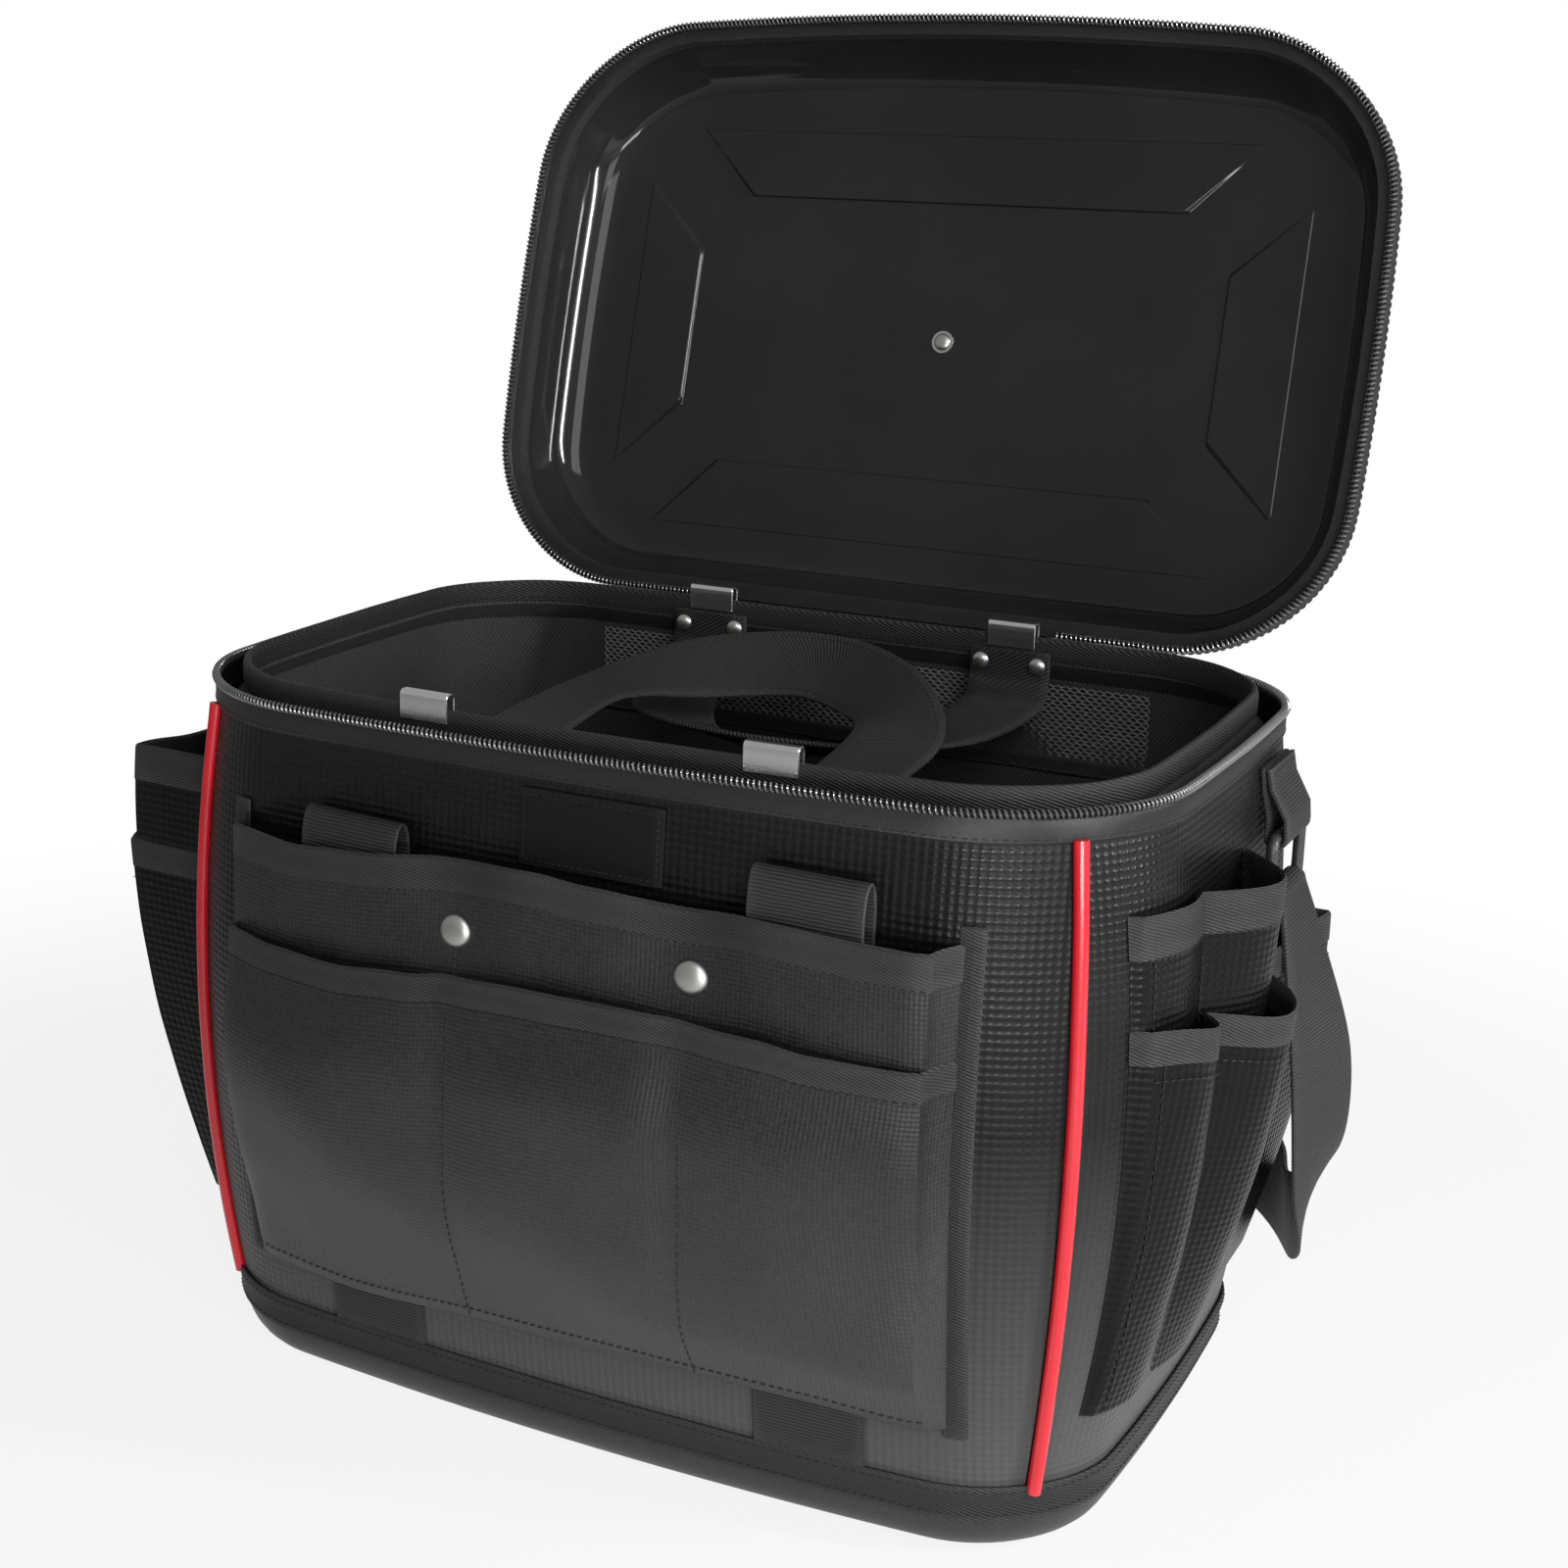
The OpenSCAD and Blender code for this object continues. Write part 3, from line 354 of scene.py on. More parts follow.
# shader node groups, each built once and placed in the finishes below
def newGroup(name, inputs, outputs):
    group = bpy.data.node_groups.new(name, "ShaderNodeTree")
    for label, value in inputs:
        socket = group.interface.new_socket(label, in_out="INPUT", socket_type="NodeSocketFloat")
        socket.default_value = value
    for label in outputs:
        group.interface.new_socket(label, in_out="OUTPUT", socket_type="NodeSocketFloat")
    return group, group.nodes.new("NodeGroupInput").outputs, group.nodes.new("NodeGroupOutput").inputs


def feed(tree, value, socket):
    if hasattr(value, "links"):
        tree.links.new(value, socket)
    else:
        socket.default_value = value


def mathNode(tree, kind, *values, clamp=False):
    node = tree.nodes.new("ShaderNodeMath")
    node.operation = kind
    node.use_clamp = clamp
    for socket, value in zip(node.inputs, values):
        feed(tree, value, socket)
    return node.outputs[0]


def plus(tree, a, b):
    return mathNode(tree, "ADD", a, b)


def times(tree, a, b, clamp=False):
    return mathNode(tree, "MULTIPLY", a, b, clamp=clamp)


def scaled(tree, a, b, c, clamp=False):
    return mathNode(tree, "MULTIPLY_ADD", a, b, c, clamp=clamp)


def splitNode(tree, vector):
    split = tree.nodes.new("ShaderNodeSeparateXYZ")
    tree.links.new(vector, split.inputs[0])
    return split.outputs


def clothCoords(group):
    at = group.nodes.new("ShaderNodeUVMap")
    at.uv_map = "cloth"
    return *splitNode(group, at.outputs[0])[:2], at.outputs[0]


def objectCoords(group):
    return group.nodes.new("ShaderNodeTexCoord").outputs["Object"]


def noiseNode(group, vector, scale, detail=3, rough=0.55, stretch=None):
    if stretch:
        shift = group.nodes.new("ShaderNodeMapping")
        shift.inputs["Scale"].default_value = stretch
        group.links.new(vector, shift.inputs[0])
        vector = shift.outputs[0]
    node = group.nodes.new("ShaderNodeTexNoise")
    for label, value in (("Detail", detail), ("Roughness", rough), ("Vector", vector), ("Scale", scale)):
        feed(group, value, node.inputs[label])
    return node.outputs[0]


def wave(group, coord, pitch):
    return mathNode(group, "SINE", mathNode(group, "DIVIDE", times(group, coord, 6.28318), pitch))


def buildWeave():
    group, given, made = newGroup("plainWeave", [("Thread", 0.9), ("Slub", 0.3)], ["Height", "Mask"])
    u, v, at = clothCoords(group)
    cross = times(group, wave(group, u, given[0]), wave(group, v, given[0]))
    uneven = noiseNode(group, at, 0.8, 4, 0.6, (1, 0.22, 1))
    feed(group, plus(group, times(group, cross, 0.5), times(group, uneven, given[1])), made[0])
    feed(group, scaled(group, cross, 0.5, 0.5, True), made[1])
    return group


def buildRibs():
    values = [("Rib", 1.5), ("Thread", 0.7), ("Slant", 0.0)]
    group, given, made = newGroup("ribbedWebbing", values, ["Height", "Mask"])
    u, v, at = clothCoords(group)
    run = plus(group, v, times(group, u, given[2]))
    bend = times(group, noiseNode(group, at, 0.12, 2), 0.8)
    rib = wave(group, plus(group, run, bend), given[0])
    fine = times(group, wave(group, u, given[1]), 0.25)
    feed(group, scaled(group, plus(group, rib, fine), 0.4, 0.5), made[0])
    feed(group, scaled(group, rib, 0.5, 0.5, True), made[1])
    return group


def buildChecker():
    values = [("Wide", 3.5), ("High", 3.2), ("Depth", 1.2)]
    group, given, made = newGroup("checkerEmboss", values, ["Height", "Mask"])
    u, v, at = clothCoords(group)
    squares = times(group, plus(group, wave(group, u, given[0]), wave(group, v, given[1])), 0.5)
    raised = scaled(group, times(group, squares, given[2]), 0.5, 0.5, True)
    feed(group, plus(group, raised, times(group, noiseNode(group, at, 2.2, 2), 0.12)), made[0])
    feed(group, raised, made[1])
    return group


def buildGrain():
    group, given, made = newGroup("mouldedGrain", [("Size", 900.0), ("Patch", 40.0)], ["Height", "Mask"])
    at = objectCoords(group)
    cells = group.nodes.new("ShaderNodeTexVoronoi")
    feed(group, at, cells.inputs["Vector"])
    feed(group, given[0], cells.inputs["Scale"])
    patchy = noiseNode(group, at, given[1], 4, 0.6)
    feed(group, plus(group, cells.outputs[0], times(group, patchy, 0.4)), made[0])
    feed(group, patchy, made[1])
    return group


# dust specks and cloud, worn convex edges, and a painted glow: BottomGlow lightens the colour towards the bottom of a
# part, standing in for light bounced up from the floor
def buildDust():
    values = [("Amount", 0.5), ("Size", 18.0), ("BottomGlow", 0.0)]
    group, given, made = newGroup("dustWearAndBottomGlow", values, ["Mask", "Edge"])
    at = objectCoords(group)
    cloud = noiseNode(group, at, given[1], 6, 0.62)
    specks = noiseNode(group, at, 650.0, 3, 0.7)
    # painted light: lighter towards the bottom, fading out about 18 cm up, for floor-bounced light
    low = times(group, scaled(group, splitNode(group, at)[2], -5.5, 1.0, True), given[2])
    both = scaled(group, specks, 1.5, scaled(group, cloud, 0.8, -0.83))
    feed(group, times(group, plus(group, both, low), given[0], True), made[0])
    shape = group.nodes.new("ShaderNodeNewGeometry")
    edge = scaled(group, shape.outputs["Pointiness"], 9.0, -4.6, True)
    feed(group, times(group, edge, scaled(group, cloud, 1.4, -0.1, True)), made[1])
    return group


def buildBrush():
    group, given, made = newGroup("brushedPlate", [("Stretch", 60.0), ("Fine", 700.0)], ["Height", "Mask"])
    at = objectCoords(group)
    lines = noiseNode(group, at, given[1], 3, 0.6, (0.04, 1, 1))
    cloud = noiseNode(group, at, given[0], 4, 0.6)
    feed(group, lines, made[0])
    feed(group, scaled(group, lines, 0.4, times(group, cloud, 0.6)), made[1])
    return group


effects = {"weave": buildWeave(), "ribs": buildRibs(), "checker": buildChecker(), "grain": buildGrain(),
           "dustAndGlow": buildDust(), "brush": buildBrush()}
print("node groups built:", ", ".join(sorted(effects)))


# two numbers stand for a near grey, red and green alike and then blue, and one number for a plain grey
def tint(c):
    c = c if isinstance(c, tuple) else (c, c)
    return c if len(c) == 3 else (c[0], *c)


# one finish: a pattern for colour, gloss and relief, with dust, worn edges and a painted floor-bounce glow towards
# the bottom over it
def finish(name, dark, light, rough, pattern, values, relief, metallic=0.0, coat=0.0, dustAndGlow=0.4, dustAndGlowTone=0.09,
           low=0.0, specular=0.5):
    material = bpy.data.materials.new(name)
    material.use_nodes = True
    tree = material.node_tree
    shader = tree.nodes["Principled BSDF"]
    for label, value in (("Metallic", metallic), ("Coat Weight", coat), ("Coat Roughness", 0.1),
                         ("Specular IOR Level", specular)):
        shader.inputs[label].default_value = value

    def effect(kind, settings):
        node = tree.nodes.new("ShaderNodeGroup")
        node.node_tree = effects[kind]
        for label, value in settings.items():
            node.inputs[label].default_value = value
        return node.outputs

    def blend(factor, a, b):
        node = tree.nodes.new("ShaderNodeMix")
        node.data_type = "RGBA"
        for socket, value in zip((node.inputs[0], node.inputs[6], node.inputs[7]), (factor, a, b)):
            feed(tree, (*value, 1) if isinstance(value, tuple) else value, socket)
        return node.outputs[2]
    surface = effect(pattern, values)
    # the dust mask also carries the painted bottom glow set by low, mixed in with the dust tone
    dustWearAndGlow = effect("dustAndGlow", {"Amount": dustAndGlow, "BottomGlow": low})
    colour = blend(surface["Mask"], tint(dark), tint(light))
    colour = blend(dustWearAndGlow["Mask"], colour, tint(dustAndGlowTone))
    colour = blend(dustWearAndGlow["Edge"], colour, tuple(min(1, c * 1.6 + 0.01) for c in tint(light)))
    tree.links.new(colour, shader.inputs["Base Color"])
    dull = scaled(tree, surface["Mask"], rough[1] - rough[0], rough[0])
    tree.links.new(scaled(tree, dustWearAndGlow["Mask"], 0.15, dull, True), shader.inputs["Roughness"])
    bump = tree.nodes.new("ShaderNodeBump")
    bump.inputs["Strength"].default_value = 1
    bump.inputs["Distance"].default_value = relief / 1000
    tree.links.new(surface["Height"], bump.inputs["Height"])
    tree.links.new(bump.outputs[0], shader.inputs["Normal"])
    return material


# low sets a painted glow that lightens the tray, wall cloth and front pocket towards the bottom, standing in for
# light bounced from the floor
finishes = {
    "tray": finish("satinTray", (0.006, 0.0065), (0.014, 0.015), (0.34, 0.46), "grain", {"Size": 1100.0}, 0.05,
                   low=0.2),
    "checker": finish("embossedCloth", (0.001, 0.0011), (0.005, 0.0052), (0.5, 0.2), "checker", {}, 0.26,
                      dustAndGlow=0.09, low=12.0, dustAndGlowTone=0.1, specular=0.24),
    # painted shade: a copy of the embossed cloth with a darker dust tone and no bottom glow, darker for the shaded
    # side pockets
    "shadedSideCloth": finish("shadedSidePocketCloth", (0.0012, 0.0013), (0.005, 0.0053), (0.5, 0.17), "checker", {}, 0.26,
                        dustAndGlow=0.08, dustAndGlowTone=0.02, specular=0.18),
    "pocket": finish("pocketCloth", (0.003, 0.0033), (0.0125, 0.013), (0.48, 0.32), "checker",
                     {"Wide": 1.9, "High": 1.9, "Depth": 1.3}, 0.12, dustAndGlow=0.28, low=1.7, dustAndGlowTone=0.1, specular=0.45),
    "lining": finish("liningCloth", (0.012, 0.0125), (0.075, 0.076), (0.75, 0.6), "weave",
                     {"Thread": 2.2, "Slub": 0.6}, 0.25, dustAndGlowTone=0.1, specular=0.2),
    "tape": finish("bindingTape", (0.003, 0.0034), (0.036, 0.037), (0.66, 0.46), "ribs",
                   {"Rib": 1.3, "Slant": 0.35}, 0.3, dustAndGlowTone=0.03, specular=0.35),
    "zipTape": finish("zipTape", (0.004, 0.0042), (0.014, 0.0145), (0.38, 0.26), "ribs",
                      {"Rib": 0.9, "Slant": 0.9}, 0.1, dustAndGlowTone=0.015),
    "webbing": finish("strapWebbing", (0.006, 0.0065), (0.036, 0.037), (0.62, 0.44), "ribs", {"Rib": 1.5}, 0.3,
                      dustAndGlowTone=0.04, specular=0.35),
    # painted light: a lighter copy of the strap webbing for the handles, making up for the dimmer light inside the
    # bucket
    "handle": finish("handleWebbingLitCopy", (0.008, 0.0085), (0.045, 0.046), (0.6, 0.44), "ribs",
                     {"Rib": 2.0, "Slant": 0.6}, 0.5, dustAndGlowTone=0.05, specular=0.4),
    "piping": finish("redPiping", (0.62, 0.004, 0.014), (0.78, 0.008, 0.024), (0.3, 0.22), "grain",
                     {"Size": 700.0}, 0.03, coat=0.5, dustAndGlow=0.08, dustAndGlowTone=(0.4, 0.1, 0.1)),
    # painted highlight: the coil is black, and its grey tone stands in for the highlights on the teeth
    "coil": finish("zipCoilPaintedHighlight", (0.1, 0.102), (0.3, 0.304), (0.2, 0.14), "grain", {"Size": 1600.0}, 0.02,
                   metallic=0.5, coat=0.6, dustAndGlow=0.1, dustAndGlowTone=0.2),
    "bright": finish("brightPlate", (0.72, 0.71), (0.88, 0.87), (0.16, 0.3), "brush", {}, 0.02,
                     metallic=1.0, dustAndGlow=0.1, dustAndGlowTone=0.5),
    "nickel": finish("nickelCap", (0.42, 0.415, 0.4), (0.56, 0.55, 0.53), (0.3, 0.44), "brush", {"Fine": 500.0}, 0.02,
                     metallic=1.0, dustAndGlow=0.15, dustAndGlowTone=0.3),
    "darkMetal": finish("blackWire", (0.012, 0.013), (0.026, 0.027), (0.3, 0.45), "brush", {}, 0.02, coat=0.2),
    "shell": finish("lidShell", (0.007, 0.0075), (0.015, 0.016), (0.42, 0.55), "grain", {"Size": 1300.0}, 0.06,
                    specular=0.3),
    "liner": finish("glossLiner", (0.01, 0.0104), (0.032, 0.0326), (0.05, 0.1), "grain",
                    {"Size": 60.0, "Patch": 9.0}, 0.004, dustAndGlow=0.06, dustAndGlowTone=0.03, specular=0.32),
    "net": finish("netThread", (0.18, 0.181), (0.4, 0.402), (0.55, 0.45), "ribs", {"Rib": 0.6, "Slant": 0.8}, 0.06,
                  specular=0.3),
    "patch": finish("blankPatch", (0.003, 0.0035), (0.007, 0.0075), (0.6, 0.5), "weave", {"Thread": 0.5}, 0.05,
                    dustAndGlow=0.15, dustAndGlowTone=0.02, specular=0.2),
    "thread": finish("sewingThread", (0.008, 0.009), (0.026, 0.028), (0.55, 0.4), "ribs",
                     {"Rib": 0.5, "Slant": 0.9}, 0.05, specular=0.3),
    "board": finish("stiffBoard", 0.03, 0.05, (0.6, 0.7), "grain", {"Size": 500.0}, 0.05),
}
print("finishes made:", len(finishes))

# moulded tray with a rounded foot and a flat underside
tray = {"thick": 3, "steps": 9, "innerSteps": 6, "rim": ((0, 23), (0.1, 25.4), (0.6, 26), (2.4, 26), (3, 25.4))}


def trayRing(off, z):
    return wallRing(off, bag["wallLow"], z)


def footArc(inset, steps):
    r = bag["trayRound"] - inset
    levels = [inset + r * (1 - math.cos(math.pi / 2 * k / steps)) for k in range(steps + 1)]
    return [trayRing(inset + r - math.sqrt(max(0, r * r - (bag["trayRound"] - z) ** 2)), z) for z in levels]


footRing = trayRing(bag["trayRound"], 0)
trayRows = shrunk(footRing, 0, (closed, 0.4, 0.75, 0.97)) + footArc(0, tray["steps"])
trayRows += [trayRing(off, z) for off, z in tray["rim"]] + footArc(tray["thick"], tray["innerSteps"])[::-1]
trayRows += shrunk(footRing, tray["thick"], (0.7, closed))
Sewn().grid(trayRows, wrap=True).piece("base_tray_moulding", "tray", nodes=["base_tray"], slot="tray")

# tape that binds the walls to the tray
baseTape = {"wave": 0.35, "seams": ((2.5, 31.6), (2.05, 21.4)),
            "profile": ((0.32, 19), (1.1, 18.9), (1.7, 19.4), (1.95, 21), (2.0, 26), (2.45, 29), (2.4, 32),
                        (2.1, 33.6), (1.6, 34.2), (0.9, 34.1), (0.45, 33.4))}
tapeRows = [rippled(wallRing(-proud, z), baseTape["wave"], 26) for proud, z in baseTape["profile"]]
Sewn().grid(tapeRows, wrap=True).piece("base_binding_tape", "tape", nodes=["base_binding"], slot="tape")
baseSeam = Sewn()
for proud, z in baseTape["seams"]:
    baseSeam.stitches(wallRing(-proud, z), loop=True)
baseSeam.threads("base_binding_stitches", "tape")

# outer walls: embossed cloth from piping to piping
walls = {"thick": 1.6, "rows": 30, "seam": math.sqrt(3.32 ** 2 - 1.96)}
for q, side in enumerate(("front", "right", "rear", "left")):
    faces = [], []
    for z in spread(bag["wallLow"] + 0.3, bag["wallHigh"] + 0.2, walls["rows"]):
        trim = math.degrees(walls["seam"] / wallSize(z)[2])
        for rows, off in zip(faces, (0, walls["thick"])):
            rows.append([(x, y, z) for x, y in sidePoints(q, *wallSize(z, off), trim, 10, 24)])
    # the wall cloth is lighter towards the bottom: painted glow from its finish's low setting
    Sewn().slab(*faces, soft=0.1).piece(side + "_wall_cloth", "checker", nodes=[side + "_panel"], slot="coated_cloth")
print("walls sewn")

# red piping in the corner seams
piping = {"radius": 3.0, "proud": 1.4, "low": 31, "high": 293}
for q, corner in enumerate(("front_left", "front_right", "rear_right", "rear_left")):
    path = []
    for z in spread(piping["low"], piping["high"], 44):
        x, y = sidePoints(q, *wallSize(z, -piping["proud"]))[0]
        path.append((x + 0.12 * crease(x, q, z, 30), y + 0.12 * crease(y, q, z, 30, 5), z))
    cord = Sewn().sweep(path, (1, 0, 0), roundSection(piping["radius"], 14))
    cord.piece("piping_cord_" + corner, "piping", nodes=["piping_" + corner], slot="piping")

# lining of the bucket with a loose fall, its floor and its bound top edge
lining = {"loose": 1.6, "floor": 6.9, "thick": 1.2, "gap": 0.6, "leanFrom": 289.5, "leanOver": 8.5,
          "seam": (14.75, 301.6),
          "rim": ((10.85, 299.8), (10.6, 301), (10.6, 305), (10.75, 307.6), (11.2, 309), (12.0, 309.7), (13.2, 309.7),
                  (14.0, 309), (14.5, 307.6), (14.65, 305), (14.65, 301), (14.35, 299.8), (13.8, 299.6))}


def liningLoose(x, y, z):
    return lining["loose"] * max(0, 0.5 + crease(x, y, z * 0.6, 55)) * ease((z - 30) / 40) * ease((292 - z) / 40)


liningOut = shrunk(wallRing(22, 26), lining["floor"], (closed, 0.35, 0.7, 0.95))
liningIn = [[(x, y, z + lining["thick"] + 0.6 * crease(x, y, 0, 40)) for x, y, z in row] for row in liningOut]
liningLevels = [8.4, 10, 13, 17, 22] + spread(28, 287, 22) + [289.5, 291.5, 293.5, 296, 298, 301]
trayIn = bag["trayRound"] - tray["thick"]
for z in liningLevels + [bag["liningTop"] - 3, bag["liningTop"]]:
    rise = bag["trayRound"] - min(z, bag["trayRound"])
    inset = bag["trayRound"] - math.sqrt(max(0, trayIn ** 2 - rise ** 2)) + lining["gap"]
    leaning = min(1, max(0, (z - lining["leanFrom"]) / lining["leanOver"]))
    off = max(bag["liningOut"], inset) + bag["lean"] * leaning
    liningOut.append(wallRing(off, z))
    loose = [liningLoose(*p) for p in liningOut[-1]]
    base = wallRing(off + lining["thick"], z)
    liningIn.append([(x * (1 - d / 200), y * (1 - d / 140), z) for (x, y, z), d in zip(base, loose)])
bucketLining = Sewn().grid(liningIn, wrap=True).grid(liningOut, wrap=True)
bucketLining.piece("bucket_lining", "lining", nodes=["lining"], slot="lining", weld=False)
rimRows = [rippled(wallRing(off, z), 0.25, 22) for off, z in lining["rim"]]
Sewn().grid(rimRows, wrap=True).piece("rim_binding", "tape", nodes=["lining_binding"], slot="tape")
Sewn().stitches(wallRing(*lining["seam"]), loop=True).threads("rim_binding_stitches", "tape")
print("lining and rim done")

# zip: tape round the rim and one wound coil each for body and lid
zipper = {"end": 90, "pitch": 2.25, "wire": 0.5, "half": 1.5, "out": 0.45, "core": 1.1,
          "bodyBand": [(0.1, 291.6), (0.75, 292.2), (0.95, 294), (0.95, 298), (0.85, 300), (0.4, 301.2)],
          "lidBand": [(-1.4, 309.3), (0.3, 309.2), (1.3, 309.3), (1.6, 309.6)],
          "lidBack": [(-1.4, 310.0), (0.3, 310.0), (1.3, 310.0), (1.5, 310.0)]}


def zipLine(off, step=1.0):
    wide, deep, r = bag["rimWide"] + 2 * off, bag["rimDeep"] + 2 * off, bag["rimCorner"] + off
    y = deep / 2 - bag["bowFront"]
    rear = sidePoints(2, wide, deep, r, 0, 12, 24)
    line = [(-zipper["end"], y)] + [p for p in rear if p[0] < -zipper["end"] - 2]
    for q in (3, 0, 1):
        line += sidePoints(q, wide, deep, r, 0, 12, 24)[1:]
    line += [p for p in rear if p[0] > zipper["end"] + 2][1:] + [(zipper["end"], y)]
    run = runLengths(line)
    count = int(run[-1] / step)
    out, k = [], 0
    for i in range(count + 1):
        k, t = stepAt(run, run[-1] * i / count, k)
        out.append(tuple(a + (b - a) * t for a, b in zip(line[k], line[k + 1])))
    return out


def coilMesh(z, wires=8):
    line = zipLine(zipper["out"], zipper["pitch"] / wires)
    path, outward = [], []
    for i, (x, y) in enumerate(line):
        nx, ny = sideways(line, i, 3)
        w = fullTurn * i / wires
        c, s = math.cos(w) * zipper["half"], math.sin(w) * zipper["half"]
        path.append((x + nx * c, y + ny * c, z + s))
        outward.append((nx * math.cos(w), ny * math.cos(w), math.sin(w)))
    core = [(x, y, z) for x, y in line[::6]]
    r = zipper["wire"]
    teeth = Sewn().sweep(path, outward, [(r * 1.1, 0), (0, r), (-r, 0), (0, -r)])
    return teeth, Sewn().sweep(core, (0, 0, 1), roundSection(zipper["core"], 6))


for part, body, z in (("body", "bucket", 302.9), ("lid", "lid", 307.1)):
    teeth, core = coilMesh(z)
    teeth.piece(part + "_zip_teeth", "coil", body, [part + "_zip_coil"], "coil", weld=False)
    core.piece(part + "_zip_core", "patch", body, slot="coil", weld=False)


def zipBand(levels, back, step=6.0):
    faces = [[[(x, y, z) for x, y in zipLine(off, step)] for off, z in offs] for offs in (levels, back)]
    count = min(len(r) for rows in faces for r in rows)
    return Sewn().slab(*[[r[:count] for r in rows] for rows in faces])


bodyBand = zipBand(zipper["bodyBand"], [(-1.0, z) for off, z in zipper["bodyBand"]])
bodyBand.piece("body_zip_band", "zipTape", nodes=["body_zip_tape"], slot="tape")
Sewn().stitches([(x, y, 293.4) for x, y in zipLine(1.0, 4)]).threads("body_zip_stitches", "tape")
zipBand(zipper["lidBand"], zipper["lidBack"]).piece("lid_zip_band", "zipTape", "lid", ["lid_zip_tape"], "tape")
print("zip wound")

# lid: grained shell, glossy formed liner with four raised pads, bound edge
lid = {"shell": [(3.2, 311.8), (3.3, 316), (3.4, 321.8), (4.6, 327), (7, 333), (9.3, 338.5), (12, 343),
                 (14.8, 346.6), (18, 349), (21.6, 350.6), (26, 351.25)],
       "thick": 2.5, "crown": 0.8, "innerTop": 348.7, "inset": 2.75, "liner": 1.5, "pad": 2.2, "edge": 3.0,
       "binding": [(0.9, 310.2), (0.4, 311.2), (0.2, 313), (0.2, 318), (0.6, 320.4), (1.6, 321.4), (3.0, 321.2),
                   (3.1, 316), (2.9, 311.6), (5, 311.2), (7.6, 311.6), (7.8, 317.4), (8.3, 318), (9.0, 317.4),
                   (9.0, 312), (8.6, 310.6), (7.4, 310.2), (4, 310.1)]}
shellRows = [lidRing(off, z) for off, z in lid["shell"]]
shellIn = [lidRing(off + lid["thick"], z - (lid["thick"] if i else 0)) for i, (off, z) in enumerate(lid["shell"])]
topOff, topZ = lid["shell"][-1]
for s in (0.8, 0.5, 0.25, 0.1, 0.03, closed):
    shellRows += shrunk(lidRing(topOff, 0), topZ + lid["crown"] * (1 - s), [s])
    shellIn += shrunk(lidRing(topOff + lid["thick"], 0), lid["innerTop"], [s])
lidShell = Sewn().grid(shellRows, wrap=True).grid(shellIn, wrap=True)
lidShell.piece("lid_outer_shell", "shell", "lid", ["lid_shell"], "shell")
floorZ = bag["panZ"]
linerLine = smoothRun(lid["shell"], 3)


# the innermost ring stays open under the middle rivet
def linerFace(inward):
    inset = lid["inset"] + inward
    rows = [lidRing(off + inset, z - inset * ease(i / 3)) for i, (off, z) in enumerate(linerLine)]
    return rows + shrunk(lidRing(topOff + inset, 0), floorZ + lid["liner"] - inward, (0.97, 0.9, 0.6, 0.3, 0.02))


liner = Sewn().grid(linerFace(lid["liner"]), wrap=True).grid(linerFace(0), wrap=True)


# a pad given by its four corners, level with the floor at the first two and stepped at the others
def raisedPad(corners):
    high, slope = lid["pad"], lid["edge"]
    middle = sum((Vector((*c, 0)) for c in corners), Vector()) / len(corners)
    steps = []
    for grow, rise in ((slope, 0.05), (slope * 0.8, -high * 0.06), (slope * 0.55, -high * 0.3),
                       (slope * 0.3, -high * 0.75), (0, -high * 0.98), (-0.6, -high), (-slope, -high)):
        ring = []
        for i, c in enumerate(corners):
            lift = 0.12 if i < 2 and rise < 0 else 1
            for t in (-0.08, 0, 0.08):
                n = corners[i - 1] if t < 0 else corners[(i + 1) % len(corners)]
                p = Vector((*c, 0)).lerp(Vector((*n, 0)), abs(t) * 0.5)
                out = (p - middle).normalized()
                ring.append((p.x + out.x * grow, p.y + out.y * grow, floorZ + rise * lift))
        steps.append(ring)
    steps.append([(middle.x, middle.y, floorZ - high * 0.56)] * len(steps[0]))
    liner.grid(steps, wrap=True)


for s in (-1, 1):
    raisedPad([(-143, s * 101), (143, s * 101), (110, s * 68), (-110, s * 68)])
    raisedPad([(s * 170, -71), (s * 170, 71), (s * 137, 38), (s * 137, -38)])
liner.piece("lid_gloss_liner", "liner", "lid", ["lid_liner"], "gloss_liner", sharp=50)
edgeRows = [rippled(lidRing(off, z), 0.25, 24, 3) for off, z in lid["binding"]]
Sewn().grid(edgeRows, wrap=True, loop=True).piece("lid_edge_binding", "tape", "lid", ["lid_binding"], "tape")
edgeSeam = Sewn().stitches(lidRing(9.15, 315.6), loop=True).stitches(lidRing(0.1, 319), loop=True)
edgeSeam.threads("lid_edge_stitches", "tape", "lid")
dome = [(0, 1), (0.35, 0.97), (0.62, 0.84), (0.82, 0.62), (0.94, 0.34), (1, 0.08), (1.0, -0.02), (0.9, -0.06)]


def capRivet(shape, at, axis, radius, high):
    shape.lathe(at, axis, [(r * radius, h * high) for r, h in dome])


lidCap = Sewn()
capRivet(lidCap, (0, 0, floorZ - 0.1), (0, 0, -1), 4.3, 1.9)
lidCap.lathe((0, 0, floorZ), (0, 0, -1), [(5.6, 0.05), (5.4, 0.4), (4.6, 0.5), (4.2, 0.4)])
lidCap.piece("lid_middle_rivet", "nickel", "lid", ["lid_rivet"], "bright_metal")

# folded cloth hinge, drawn bent to the open lid
hinge = {"half": 84, "cols": 42, "thick": 0.9,
         "body": [(138.15, 292.4), (138.3, 296), (138.6, 300), (139.1, 303), (139.6, 304.6)],
         "lid": [(139.9, 306.6), (140.2, 308), (140.3, 311), (140.2, 315.6)]}
hingePath = smoothRun(hinge["body"] + [opened((0, y, z))[1:] for y, z in hinge["lid"]], 4)


